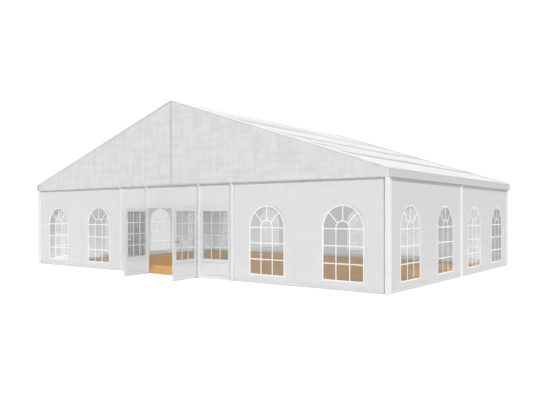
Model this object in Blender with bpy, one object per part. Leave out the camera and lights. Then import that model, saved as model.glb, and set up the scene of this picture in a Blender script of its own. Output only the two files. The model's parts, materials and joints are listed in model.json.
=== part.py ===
"""Marquee tent: 15 m wide, 10 m long, two 5 m bays, aluminium frame, fabric roof and walls.

Blender 4.5 script, metres, +Z up. The origin is on the ground at the middle of the tent.
The front gable with the door faces -Y, and the long sides face -X and +X.
"""
import math

import bmesh
import bpy
from mathutils import Vector

# Driving dimensions of the frame
SPAN = 15.0
LENGTH = 10.0
BAY = 5.0
RIDGE_HEIGHT = 5.553
EAVE_HEIGHT = 3.065
GAP = 0.0003

# Legs, rafters and rails
LEG_SIZE = 0.12
LEG_PROUD_SIDE = 0.04
LEG_PROUD_GABLE = 0.05
RAFTER_WIDTH = 0.10
RAFTER_DEPTH = 0.16
POST_AT = 2.513
POST_WIDTH = 0.08
POST_DEPTH = 0.07
POST_PROUD = 0.03
RAIL_BOTTOM = 2.81
RAIL_TOP = 2.89
RAIL_DEPTH = 0.07
RIDGE_PURLIN_WIDTH = 0.08
RIDGE_PURLIN_DEPTH = 0.12
MID_PURLIN_AT = 3.2
MID_PURLIN_WIDTH = 0.06
MID_PURLIN_DEPTH = 0.08

# Fabric skins and the eave fascia
ROOF_THICKNESS = 0.012
GABLE_THICKNESS = 0.012
WALL_THICKNESS = 0.008
WALL_BOTTOM = 0.005
WALL_TOP = 2.92
GABLE_BOTTOM = 2.847
FASCIA_THICKNESS = 0.05
FASCIA_BOTTOM = 2.85
FASCIA_REACH = 5.066

# Arched windows, two in each 5 m bay
WINDOW_WIDTH = 1.20
WINDOW_SILL = 0.24
WINDOW_SPRING = 1.57
WINDOW_OFFSET = 1.2225
ARCH_STEPS = 20
FILM_THICKNESS = 0.002
FILM_MARGIN = 0.05

# Wooden floor
FLOOR_TOP = 0.02

# Door unit in the middle bay of the front gable
DOOR_HALF = 1.148
FRAME_TOP = 2.136
HEAD_TOP = 2.19
LEAF_BOTTOM = 0.03
LEAF_TOP = 2.12
LEAF_THICKNESS = 0.04
HINGE_SIDE = 0.005
HINGE_OUT = 0.012
HINGE_RADIUS = 0.010
HINGE_HEIGHTS = (0.30, 1.10, 1.85)
KNUCKLE_LENGTH = 0.05
HINGE_PLATE_WIDTH = 0.04
HINGE_PLATE_STEP = 0.008
LEAF_CLEARANCE = 0.005
MEETING_GAP = 0.009
LEAF_STILE = 0.12
SIDE_STILE_INNER = 0.113
SIDE_STILE_OUTER = 0.088
GLASS_BOTTOM = 0.597
GLASS_TOP = 2.03
GLASS_THICKNESS = 0.006
PANEL_BOTTOM = 0.13
PANEL_TOP = 0.49
PANEL_RECESS = 0.006
HANDLE_HEIGHT = 1.14
HANDLE_REACH = 0.055
HANDLE_LENGTH = 0.13
LEFT_LEAF_OPEN = math.radians(80.0)
RIGHT_LEAF_OPEN = math.radians(98.0)

# Places worked out from the driving dimensions
HALF_SPAN = SPAN / 2
HALF_LENGTH = LENGTH / 2
LEG_OUT = HALF_SPAN + LEG_PROUD_SIDE
LEG_IN = LEG_OUT - LEG_SIZE
LEG_FRONT = HALF_LENGTH + LEG_PROUD_GABLE
LEG_BACK = LEG_FRONT - LEG_SIZE
FASCIA_IN = LEG_OUT + GAP
FASCIA_OUT = LEG_OUT + FASCIA_THICKNESS
ROOF_SLOPE = (RIDGE_HEIGHT - EAVE_HEIGHT) / FASCIA_OUT
ROOF_COS = math.cos(math.atan(ROOF_SLOPE))
POST_FRONT = HALF_LENGTH + POST_PROUD
POST_BACK = POST_FRONT - POST_DEPTH
FRAME_Y = LEG_FRONT - LEG_SIZE / 2
WALL_IN = HALF_LENGTH - WALL_THICKNESS

FABRIC = ("white_pvc_fabric", (0.76, 0.77, 0.78), 0.55, 0.0)
ROOF_FABRIC = ("white_roof_fabric", (0.88, 0.88, 0.88), 0.5, 0.0)
ALUMINIUM = ("white_coated_aluminium", (0.83, 0.84, 0.85), 0.4, 0.0)
MILL_ALUMINIUM = ("anodised_aluminium", (0.68, 0.69, 0.70), 0.4, 1.0)
DOOR_WHITE = ("white_door_profile", (0.78, 0.78, 0.79), 0.35, 0.0)
FILM = ("clear_window_film", (0.60, 0.62, 0.63), 0.15, 0.0)
GLASS = ("door_glass", (0.55, 0.58, 0.59), 0.05, 0.0)
WOOD = ("orange_brown_wood", (0.62, 0.38, 0.17), 0.5, 0.0)


def clear_scene():
    """Remove every object so that the script starts from nothing."""
    for item in list(bpy.data.objects):
        bpy.data.objects.remove(item, do_unlink=True)


def make_material(recipe):
    """A Principled material, made once for each recipe."""
    name, colour, roughness, metallic = recipe
    found = bpy.data.materials.get(name)
    if found:
        return found
    made = bpy.data.materials.new(name)
    made.use_nodes = True
    shader = made.node_tree.nodes["Principled BSDF"]
    shader.inputs["Base Color"].default_value = (*colour, 1.0)
    shader.inputs["Roughness"].default_value = roughness
    shader.inputs["Metallic"].default_value = metallic
    return made


def add_object(name, work, place, recipe):
    """Turn a bmesh into a named object standing at its place."""
    bmesh.ops.recalc_face_normals(work, faces=work.faces)
    mesh = bpy.data.meshes.new(name)
    work.to_mesh(mesh)
    work.free()
    piece = bpy.data.objects.new(name, mesh)
    piece.location = place
    bpy.context.scene.collection.objects.link(piece)
    if recipe:
        mesh.materials.append(make_material(recipe))
    return piece


def box(name, low, high, recipe):
    """A rectangular bar, sheet or slab between two corners."""
    low = Vector(low)
    high = Vector(high)
    work = bmesh.new()
    bmesh.ops.create_cube(work, size=1.0)
    bmesh.ops.scale(work, vec=high - low, verts=work.verts)
    return add_object(name, work, (low + high) / 2, recipe)


def profile(name, outline, start, end, recipe):
    """An outline in the XZ plane, extruded along Y from start to end."""
    work = bmesh.new()
    corners = [work.verts.new((x, 0.0, z)) for x, z in outline]
    face = work.faces.new(corners)
    grown = bmesh.ops.extrude_face_region(work, geom=[face])
    moved = [item for item in grown["geom"] if isinstance(item, bmesh.types.BMVert)]
    bmesh.ops.translate(work, vec=(0.0, end - start, 0.0), verts=moved)
    return add_object(name, work, (0.0, start, 0.0), recipe)


def as_tool(piece):
    """Mark an object as a cutter or a joined shape that the model itself leaves out."""
    piece.hide_render = True
    piece.display_type = "WIRE"
    return piece


def boolean(piece, tool, operation):
    """Cut a tool out of a piece, or join it on."""
    step = piece.modifiers.new(tool.name, "BOOLEAN")
    step.operation = operation
    step.solver = "EXACT"
    step.object = as_tool(tool)


def arch_outline(centre):
    """A window outline: upright sides and a half-round head."""
    radius = WINDOW_WIDTH / 2
    points = [(centre - radius, WINDOW_SILL), (centre + radius, WINDOW_SILL)]
    for step in range(ARCH_STEPS + 1):
        angle = math.pi * step / ARCH_STEPS
        points.append((centre + radius * math.cos(angle), WINDOW_SPRING + radius * math.sin(angle)))
    return points


def roof_under(distance, below=0.0):
    """Height under the roof skin at a distance from the ridge, less a depth square to the slope."""
    return RIDGE_HEIGHT - (ROOF_THICKNESS + GAP + below) / ROOF_COS - ROOF_SLOPE * distance


def build_legs():
    """Six legs: four corners and one at the middle of each long side."""
    seat = roof_under(LEG_IN, RAFTER_DEPTH) - GAP
    rows = {"front": -FRAME_Y, "middle": 0.0, "rear": FRAME_Y}
    for row, y in rows.items():
        for side, sign in (("left", -1), ("right", 1)):
            xs = sorted((sign * LEG_IN, sign * LEG_OUT))
            low = (xs[0], y - LEG_SIZE / 2, 0.0)
            high = (xs[1], y + LEG_SIZE / 2, seat)
            box(f"leg_{row}_{side}", low, high, ALUMINIUM)


def build_rafters():
    """Three pairs of rafters, each pair joined at the ridge and seated flat on its legs."""
    seat = roof_under(LEG_IN, RAFTER_DEPTH)
    right = [(LEG_OUT, roof_under(LEG_OUT)), (LEG_OUT, seat), (LEG_IN, seat)]
    left = [(-x, z) for x, z in reversed(right)]
    outline = [(0.0, roof_under(0.0))] + right + [(0.0, roof_under(0.0, RAFTER_DEPTH))] + left
    for row, y in (("front", -FRAME_Y), ("middle", 0.0), ("rear", FRAME_Y)):
        start = y - RAFTER_WIDTH / 2
        profile(f"rafters_{row}", outline, start, start + RAFTER_WIDTH, MILL_ALUMINIUM)


def build_gable_frame():
    """Posts at the third points of both gables, and the rail along the top of the walls."""
    top = roof_under(POST_AT + POST_WIDTH / 2, RAFTER_DEPTH) - GAP
    for row, sign in (("front", -1), ("rear", 1)):
        ys = sorted((sign * POST_FRONT, sign * POST_BACK))
        for side, x in (("left", -POST_AT), ("right", POST_AT)):
            low = (x - POST_WIDTH / 2, ys[0], 0.0)
            high = (x + POST_WIDTH / 2, ys[1], top)
            box(f"gable_post_{row}_{side}", low, high, ALUMINIUM)
        ys = sorted((sign * (POST_BACK - GAP), sign * (POST_BACK - GAP - RAIL_DEPTH)))
        low = (GAP - LEG_IN, ys[0], RAIL_BOTTOM)
        high = (LEG_IN - GAP, ys[1], RAIL_TOP)
        box(f"gable_rail_{row}", low, high, MILL_ALUMINIUM)


def build_purlins():
    """Ridge purlins and one purlin half-way down each slope, between the rafters."""
    half = RIDGE_PURLIN_WIDTH / 2
    bottom = roof_under(0.0, RIDGE_PURLIN_DEPTH)
    ridge = [(-half, bottom), (half, bottom), (half, roof_under(half)), (0.0, roof_under(0.0))]
    ridge.append((-half, roof_under(half)))
    inner = MID_PURLIN_AT - MID_PURLIN_WIDTH / 2
    outer = MID_PURLIN_AT + MID_PURLIN_WIDTH / 2
    slope = [(inner, roof_under(inner)), (inner, roof_under(inner, MID_PURLIN_DEPTH))]
    slope += [(outer, roof_under(outer, MID_PURLIN_DEPTH)), (outer, roof_under(outer))]
    near = RAFTER_WIDTH / 2 + GAP
    far = FRAME_Y - RAFTER_WIDTH / 2 - GAP
    for bay, start, end in (("front", -far, -near), ("rear", near, far)):
        profile(f"ridge_purlin_{bay}", ridge, start, end, MILL_ALUMINIUM)
        profile(f"purlin_{bay}_right", slope, start, end, MILL_ALUMINIUM)
        mirrored = [(-x, z) for x, z in slope]
        profile(f"purlin_{bay}_left", mirrored, start, end, MILL_ALUMINIUM)


def build_fascias():
    """The white eave profile along each long side, from gable to gable."""
    top = roof_under(FASCIA_OUT)
    for side, sign in (("left", -1), ("right", 1)):
        xs = sorted((sign * FASCIA_IN, sign * FASCIA_OUT))
        low = (xs[0], -FASCIA_REACH, FASCIA_BOTTOM)
        high = (xs[1], FASCIA_REACH, top)
        box(f"eave_fascia_{side}", low, high, ALUMINIUM)


def build_roof():
    """Four roof covers, one for each slope of each bay, laid on the rafters and purlins."""
    drop = ROOF_THICKNESS / ROOF_COS
    near = GAP / 2
    outline = [
        (near, RIDGE_HEIGHT - ROOF_SLOPE * near - drop),
        (FASCIA_OUT, EAVE_HEIGHT - drop),
        (FASCIA_OUT, EAVE_HEIGHT),
        (near, RIDGE_HEIGHT - ROOF_SLOPE * near),
    ]
    mirrored = [(-x, z) for x, z in outline]
    for bay, start, end in (("front", -FASCIA_REACH, -near), ("rear", near, FASCIA_REACH)):
        profile(f"roof_cover_{bay}_right", outline, start, end, ROOF_FABRIC)
        profile(f"roof_cover_{bay}_left", mirrored, start, end, ROOF_FABRIC)


def build_gable_covers():
    """The fabric that fills each gable above the walls."""
    side = FASCIA_IN - GAP
    outline = [(-side, GABLE_BOTTOM), (side, GABLE_BOTTOM), (side, roof_under(side))]
    outline += [(0.0, roof_under(0.0)), (-side, roof_under(side))]
    near = LEG_FRONT + GAP
    far = near + GABLE_THICKNESS
    profile("gable_cover_front", outline, -far, -near, FABRIC)
    profile("gable_cover_rear", outline, near, far, FABRIC)


def turned(piece, turn):
    """Turn a panel made for the front about the middle of the tent."""
    piece.rotation_euler = (0.0, 0.0, turn)
    place = Vector(piece.location)
    cos = math.cos(turn)
    sin = math.sin(turn)
    piece.location = (cos * place.x - sin * place.y, sin * place.x + cos * place.y, place.z)
    return piece


def wall_panel(name, start, end, centre, depth, turn):
    """One bay of wall with two arched windows cut through, and the clear film behind them.

    It is made as if it faced the front, at a depth from the middle, and then turned.
    """
    outer = -depth
    inner = outer + WALL_THICKNESS
    wall = box(f"{name}_wall", (start, outer, WALL_BOTTOM), (end, inner, WALL_TOP), FABRIC)
    turned(wall, turn)
    for side, shift in (("a", -WINDOW_OFFSET), ("b", WINDOW_OFFSET)):
        outline = arch_outline(centre + shift)
        cutter = profile(f"cut_{name}_{side}", outline, outer - 0.02, inner + 0.02, None)
        boolean(wall, turned(cutter, turn), "DIFFERENCE")
    reach = WINDOW_OFFSET + WINDOW_WIDTH / 2 + FILM_MARGIN
    low = (centre - reach, inner + GAP, WINDOW_SILL - FILM_MARGIN)
    top = WINDOW_SPRING + WINDOW_WIDTH / 2 + FILM_MARGIN
    high = (centre + reach, inner + GAP + FILM_THICKNESS, top)
    turned(box(f"{name}_window_film", low, high, FILM), turn)


def build_walls():
    """Nine wall bays: two beside the door, three at the rear and two on each long side."""
    corner = LEG_IN - GAP
    post_out = POST_AT + POST_WIDTH / 2 + GAP
    post_in = POST_AT - POST_WIDTH / 2 - GAP
    wall_panel("front_left", -corner, -post_out, -BAY, HALF_LENGTH, 0.0)
    wall_panel("front_right", post_out, corner, BAY, HALF_LENGTH, 0.0)
    wall_panel("rear_right", -corner, -post_out, -BAY, HALF_LENGTH, math.pi)
    wall_panel("rear_middle", -post_in, post_in, 0.0, HALF_LENGTH, math.pi)
    wall_panel("rear_left", post_out, corner, BAY, HALF_LENGTH, math.pi)
    corner = LEG_BACK - GAP
    middle = LEG_SIZE / 2 + GAP
    half_bay = BAY / 2
    wall_panel("right_front", -corner, -middle, -half_bay, HALF_SPAN, math.pi / 2)
    wall_panel("right_rear", middle, corner, half_bay, HALF_SPAN, math.pi / 2)
    wall_panel("left_rear", -corner, -middle, -half_bay, HALF_SPAN, -math.pi / 2)
    wall_panel("left_front", middle, corner, half_bay, HALF_SPAN, -math.pi / 2)


def build_floor():
    """The wooden floor, with a tongue that fills the doorway."""
    side = LEG_IN - GAP
    end = POST_BACK - GAP
    tongue = DOOR_HALF - GAP
    work = bmesh.new()
    corners = [(-side, -end), (-tongue, -end), (-tongue, -POST_FRONT), (tongue, -POST_FRONT)]
    corners += [(tongue, -end), (side, -end), (side, end), (-side, end)]
    face = work.faces.new([work.verts.new((x, y, 0.0)) for x, y in corners])
    grown = bmesh.ops.extrude_face_region(work, geom=[face])
    moved = [item for item in grown["geom"] if isinstance(item, bmesh.types.BMVert)]
    bmesh.ops.translate(work, vec=(0.0, 0.0, FLOOR_TOP), verts=moved)
    add_object("wooden_floor", work, (0.0, 0.0, 0.0), WOOD)


def recess_panel(piece, name, start, end, front, back):
    """Sink the flat field of a lower door panel a little into both faces."""
    for face, y in (("out", front), ("in", back)):
        low = (start, y - PANEL_RECESS, PANEL_BOTTOM)
        high = (end, y + PANEL_RECESS, PANEL_TOP)
        tool = box(f"recess_{name}_{face}", low, high, None)
        tool.parent = piece.parent
        boolean(piece, tool, "DIFFERENCE")


def knuckle(name, centre, way, face, low, high, parent=None):
    """A hinge barrel with the plate that carries it, as one shape to join onto a door part.

    The plate runs from the barrel along X, the way the sign says, with one side in the face.
    """
    x, y = centre
    work = bmesh.new()
    bmesh.ops.create_cone(
        work, cap_ends=True, segments=16, radius1=HINGE_RADIUS, radius2=HINGE_RADIUS, depth=high - low
    )
    barrel = add_object(f"{name}_barrel", work, (x, y, (low + high) / 2), DOOR_WHITE)
    xs = sorted((x, x + way * HINGE_PLATE_WIDTH))
    plate = box(
        f"{name}_plate", (xs[0], face - HINGE_PLATE_STEP, low), (xs[1], face + 0.002, high), DOOR_WHITE
    )
    barrel.parent = parent
    plate.parent = parent
    return barrel, plate


def build_side_lights():
    """The fixed frame on each side of the doorway: door post, glazed frame and its glass."""
    front = -POST_FRONT
    back = -POST_BACK
    post = DOOR_HALF + POST_WIDTH
    end = POST_AT - POST_WIDTH / 2 - GAP
    glass_start = post + SIDE_STILE_INNER
    glass_end = end - SIDE_STILE_OUTER
    middle = (front + back) / 2
    for side, sign in (("left", -1), ("right", 1)):
        xs = sorted((sign * DOOR_HALF, sign * end))
        frame = box(f"side_light_{side}", (xs[0], front, 0.0), (xs[1], back, FRAME_TOP), DOOR_WHITE)
        xs = sorted((sign * DOOR_HALF, sign * post))
        low = (xs[0], front, FRAME_TOP - 0.05)
        high = (xs[1], -HALF_LENGTH - GAP, GABLE_BOTTOM - GAP)
        boolean(frame, box(f"post_head_{side}", low, high, DOOR_WHITE), "UNION")
        axis = (sign * (DOOR_HALF - HINGE_SIDE), front - HINGE_OUT)
        for count, height in enumerate(HINGE_HEIGHTS):
            low_end = height - KNUCKLE_LENGTH
            for tool in knuckle(f"post_{side}_{count}", axis, sign, front, low_end, height - GAP / 2):
                boolean(frame, tool, "UNION")
        xs = sorted((sign * glass_start, sign * glass_end))
        low = (xs[0], front - 0.02, GLASS_BOTTOM)
        high = (xs[1], back + 0.02, GLASS_TOP)
        boolean(frame, box(f"cut_side_light_{side}", low, high, None), "DIFFERENCE")
        recess_panel(frame, f"side_{side}", xs[0], xs[1], front, back)
        low = (xs[0] + GAP, middle - GLASS_THICKNESS / 2, GLASS_BOTTOM + GAP)
        high = (xs[1] - GAP, middle + GLASS_THICKNESS / 2, GLASS_TOP - GAP)
        box(f"side_glass_{side}", low, high, GLASS)


def build_over_door():
    """The white panel over the door and side lights, with the head rail of the doorway."""
    side = POST_AT - POST_WIDTH / 2 - GAP
    low = (-side, -HALF_LENGTH, FRAME_TOP + GAP)
    high = (side, -WALL_IN, WALL_TOP)
    panel = box("over_door_panel", low, high, DOOR_WHITE)
    rail = DOOR_HALF - GAP
    low = (-rail, -POST_FRONT, FRAME_TOP + GAP)
    head = box("door_head_rail", low, (rail, -POST_BACK, HEAD_TOP), DOOR_WHITE)
    boolean(panel, head, "UNION")


def door_leaf(side, sign, opened):
    """One door leaf and its glass, modelled closed and swung out about its hinge."""
    hinge = bpy.data.objects.new(f"hinge_{side}", None)
    hinge.location = (sign * (DOOR_HALF - HINGE_SIDE), -POST_FRONT - HINGE_OUT, 0.0)
    hinge.rotation_euler = (0.0, 0.0, sign * opened)
    bpy.context.scene.collection.objects.link(hinge)
    start = LEAF_CLEARANCE
    end = DOOR_HALF - HINGE_SIDE - MEETING_GAP / 2
    front = HINGE_OUT
    back = front + LEAF_THICKNESS

    def span(near, far):
        return sorted((-sign * near, -sign * far))

    xs = span(start, end)
    leaf = box(f"door_leaf_{side}", (xs[0], front, LEAF_BOTTOM), (xs[1], back, LEAF_TOP), DOOR_WHITE)
    leaf.parent = hinge
    xs = span(start + LEAF_STILE, end - LEAF_STILE)
    low = (xs[0], front - 0.02, GLASS_BOTTOM)
    high = (xs[1], back + 0.02, GLASS_TOP)
    opening = box(f"cut_leaf_{side}", low, high, None)
    opening.parent = hinge
    boolean(leaf, opening, "DIFFERENCE")
    recess_panel(leaf, f"leaf_{side}", xs[0], xs[1], front, back)
    middle = (front + back) / 2
    low = (xs[0] + GAP, middle - GLASS_THICKNESS / 2, GLASS_BOTTOM + GAP)
    high = (xs[1] - GAP, middle + GLASS_THICKNESS / 2, GLASS_TOP - GAP)
    box(f"door_glass_{side}", low, high, GLASS).parent = hinge
    for count, height in enumerate(HINGE_HEIGHTS):
        name = f"leaf_{side}_{count}"
        high_end = height + KNUCKLE_LENGTH
        for tool in knuckle(name, (0.0, 0.0), -sign, front, height + GAP / 2, high_end, hinge):
            boolean(leaf, tool, "UNION")
    spindle = end - LEAF_STILE / 2
    for face, y, out in (("out", front, -1), ("in", back, 1)):
        ys = sorted((y - out * 0.01, y + out * HANDLE_REACH))
        xs = span(spindle - 0.011, spindle + 0.011)
        low = (xs[0], ys[0], HANDLE_HEIGHT - 0.011)
        neck = box(f"handle_neck_{side}_{face}", low, (xs[1], ys[1], HANDLE_HEIGHT + 0.011), DOOR_WHITE)
        neck.parent = hinge
        boolean(leaf, neck, "UNION")
        ys = sorted((y + out * (HANDLE_REACH - 0.018), y + out * HANDLE_REACH))
        xs = span(spindle - HANDLE_LENGTH, spindle + 0.009)
        low = (xs[0], ys[0], HANDLE_HEIGHT - 0.010)
        lever = box(f"handle_lever_{side}_{face}", low, (xs[1], ys[1], HANDLE_HEIGHT + 0.010), DOOR_WHITE)
        lever.parent = hinge
        boolean(leaf, lever, "UNION")


def main():
    clear_scene()
    build_legs()
    build_rafters()
    build_gable_frame()
    build_purlins()
    build_fascias()
    build_roof()
    build_gable_covers()
    build_walls()
    build_floor()
    build_side_lights()
    build_over_door()
    door_leaf("left", -1, LEFT_LEAF_OPEN)
    door_leaf("right", 1, RIGHT_LEAF_OPEN)


main()
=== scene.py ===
# %% [markdown]
# # Dressing a white frame marquee
# The CAD model gives the true frame of the tent: legs, rafters, purlins, door frames and the
# thick slabs that stand for its cloth. This lesson keeps the hard parts, swaps the slabs for thin
# sheets that sag and crease, and gives every surface the finish of the real thing.
# All sizes are metres, and every piece is built where it belongs, so nothing is moved later.

# %% Load the fixed frame
import json
import math

import bmesh
import bpy
import numpy as np
from mathutils import Matrix, Vector


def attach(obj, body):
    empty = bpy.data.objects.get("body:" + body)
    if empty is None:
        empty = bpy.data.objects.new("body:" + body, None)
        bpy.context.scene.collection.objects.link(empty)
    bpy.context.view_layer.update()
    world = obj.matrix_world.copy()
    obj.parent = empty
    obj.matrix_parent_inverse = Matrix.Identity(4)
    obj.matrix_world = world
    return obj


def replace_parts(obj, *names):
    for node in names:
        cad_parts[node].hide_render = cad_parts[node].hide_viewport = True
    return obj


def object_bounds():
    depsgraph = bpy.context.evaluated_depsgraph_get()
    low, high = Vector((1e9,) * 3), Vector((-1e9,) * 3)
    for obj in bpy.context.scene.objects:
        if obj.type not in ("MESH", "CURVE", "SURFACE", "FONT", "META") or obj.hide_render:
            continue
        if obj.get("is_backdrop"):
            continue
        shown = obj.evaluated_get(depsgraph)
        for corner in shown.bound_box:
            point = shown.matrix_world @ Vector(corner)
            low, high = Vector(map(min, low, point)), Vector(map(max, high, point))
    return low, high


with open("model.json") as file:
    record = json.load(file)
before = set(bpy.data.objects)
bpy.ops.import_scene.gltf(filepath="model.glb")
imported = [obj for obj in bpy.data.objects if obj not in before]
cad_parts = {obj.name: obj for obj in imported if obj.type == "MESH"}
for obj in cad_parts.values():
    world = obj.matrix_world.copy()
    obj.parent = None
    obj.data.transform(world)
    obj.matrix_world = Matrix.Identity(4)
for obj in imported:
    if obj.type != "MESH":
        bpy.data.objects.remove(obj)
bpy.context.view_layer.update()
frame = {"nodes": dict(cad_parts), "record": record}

# %% [markdown]
# ## Sizes of the tent
# These are sizes of the CAD model, written once here, so that each sheet of cloth lands on the
# frame that carries it. Neighbours in the model stand a hair's breadth apart, which is GAP.

# %% Sizes
GAP = 0.0003
HALF_SPAN = 7.5
HALF_LENGTH = 5.0
RIDGE_HEIGHT = 5.553
EAVE_HEIGHT = 3.065
LEG_SIZE = 0.12
LEG_PROUD_SIDE = 0.04
LEG_PROUD_GABLE = 0.05
LEG_OUT = HALF_SPAN + LEG_PROUD_SIDE
LEG_FRONT = HALF_LENGTH + LEG_PROUD_GABLE
RAFTER_WIDTH = 0.10
RAFTER_EDGE = LEG_FRONT - LEG_SIZE / 2 - RAFTER_WIDTH / 2
ROOF_THICKNESS = 0.012
FASCIA_THICKNESS = 0.05
FASCIA_OUT = LEG_OUT + FASCIA_THICKNESS
FASCIA_REACH = 5.066
ROOF_SLOPE = (RIDGE_HEIGHT - EAVE_HEIGHT) / FASCIA_OUT
GABLE_BOTTOM = 2.847
WALL_BOTTOM = 0.005
WALL_TOP = 2.92
POST_AT = 2.513
POST_WIDTH = 0.08
POST_DEPTH = 0.07
POST_PROUD = 0.03
POST_FRONT = HALF_LENGTH + POST_PROUD
WINDOW_RADIUS = 0.60
WINDOW_SILL = 0.24
WINDOW_SPRING = 1.57
WINDOW_OFFSET = 1.2225
DOOR_HALF = 1.148
LEAF_TOP = 2.12
print("roof pitch", round(math.degrees(math.atan(ROOF_SLOPE)), 1), "degrees")

# %% [markdown]
# ## Camera
# The photograph was taken from the front right at about head height, with a lens a little longer
# than normal. A camera kept level draws upright posts upright, and a small vertical shift puts the
# horizon where the photograph has it. The lens is worked out from its length in pixels.

# %% Camera
IMAGE_WIDTH = 550
LENS_PIXELS = 589.4
HORIZON_BELOW_MIDDLE = 7.466
SENSOR_WIDTH = 36.0
CAMERA_PLACE = (13.8306, -18.0199, 1.9475)
CAMERA_TURN = 36.854
camera_data = bpy.data.cameras.new("camera")
camera_data.sensor_fit = "HORIZONTAL"
camera_data.sensor_width = SENSOR_WIDTH
camera_data.lens = SENSOR_WIDTH * LENS_PIXELS / IMAGE_WIDTH
camera_data.shift_y = HORIZON_BELOW_MIDDLE / IMAGE_WIDTH
camera_data.clip_end = 600.0
camera = bpy.data.objects.new("camera", camera_data)
camera.location = CAMERA_PLACE
camera.rotation_euler = (math.radians(90.0), 0.0, math.radians(CAMERA_TURN))
bpy.context.scene.collection.objects.link(camera)
bpy.context.scene.camera = camera
print("lens", round(camera_data.lens, 2), "mm")

# %% [markdown]
# ## Colours and nodes
# Colours are picked as sRGB hex values, the way a paint chart or a picture gives them, and one
# function turns them to the linear values that a shader needs. Another adds a node to any tree,
# with its settings, its fixed inputs and its links, so that each material reads as a short list of
# what it does. Most finishes end alike: a pattern picks between two close tones, and a height
# raises the surface a little, so that step is a function too.

# %% Helpers for materials
WHITE = (1.0, 1.0, 1.0, 1.0)


def linear(hex_colour):
    """An sRGB hex colour as linear red, green, blue and a full alpha."""
    parts = [int(hex_colour[i : i + 2], 16) / 255 for i in (0, 2, 4)]
    return (*[c / 12.92 if c <= 0.04045 else ((c + 0.055) / 1.055) ** 2.4 for c in parts], 1.0)


def feed(node, inputs):
    """Give a node its inputs: fixed values, output sockets, or nodes whose first output is meant.
    A list of them goes to an input that joins many."""
    for socket, given in inputs.items():
        for source in given if isinstance(given, list) else [given]:
            if isinstance(source, bpy.types.Node):
                source = source.outputs[0]
            if isinstance(source, bpy.types.NodeSocket):
                node.id_data.links.new(source, node.inputs[socket])
            else:
                node.inputs[socket].default_value = source


def add_node(tree, kind, inputs=None, **settings):
    """Add a node to a tree, with its settings and its inputs."""
    made = tree.nodes.new(kind)
    for name, value in settings.items():
        setattr(made, name, value)
    feed(made, inputs or {})
    return made


def start_material(name, roughness, metallic=0.0):
    """A new material with its node tree, its Principled shader and the places of its surface."""
    made = bpy.data.materials.new(name)
    made.use_nodes = True
    shader = made.node_tree.nodes["Principled BSDF"]
    feed(shader, {"Roughness": roughness, "Metallic": metallic})
    return made, made.node_tree, shader, add_node(made.node_tree, "ShaderNodeTexCoord").outputs


def two_tones(tree, shader, share, tones, height=None, strength=0.0, depth=0.0):
    """Let a pattern pick between two close tones, and let a height raise the surface."""
    mixed = {0: share, 6: linear(tones[0]), 7: linear(tones[1])}
    feed(shader, {"Base Color": add_node(tree, "ShaderNodeMix", mixed, data_type="RGBA").outputs[2]})
    if height is not None:
        relief = {"Strength": strength, "Distance": depth, "Height": height}
        feed(shader, {"Normal": add_node(tree, "ShaderNodeBump", relief)})


def speckled(name, tones, roughness, scale, detail, strength, depth):
    """An even finish whose tone and surface follow one fine noise."""
    made, tree, shader, place = start_material(name, roughness)
    noise = {"Vector": place["Object"], "Scale": scale, "Detail": detail}
    grain = add_node(tree, "ShaderNodeTexNoise", noise)
    two_tones(tree, shader, grain, tones, grain, strength, depth)
    return made


print("mid grey is", [round(v, 3) for v in linear("808080")])

# %% [markdown]
# ## Coated cloth
# The walls, gables and roof are polyester woven from about 1 mm yarns, coated with PVC and
# lacquered. To the eye that is a soft white with a satin sheen and a faint weave. Sheets that
# were folded for transport keep creases along and across the weave for a long time. The creases
# are bumps, and their low parts are painted a little darker as painted shade. The weave is drawn
# at 12 mm, far coarser than it is, because a true one is finer than a pixel at any distance that
# shows a wall. The sheets carry a UV map in metres, so the pattern follows the cloth.
# Grime lies on the lowest 25 cm. Painted shade lies where a number stored on the sheet, called
# dust, says so.

# %% Coated cloth materials
WEAVE = 0.012
WAVE_PERIOD = 2 * math.pi / 20
GRIME_HEIGHT = 0.25
# One dark grey for grime near the ground and for painted shade on the roof.
GRIME_AND_SHADE_COLOUR = "8C8C8B"


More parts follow.
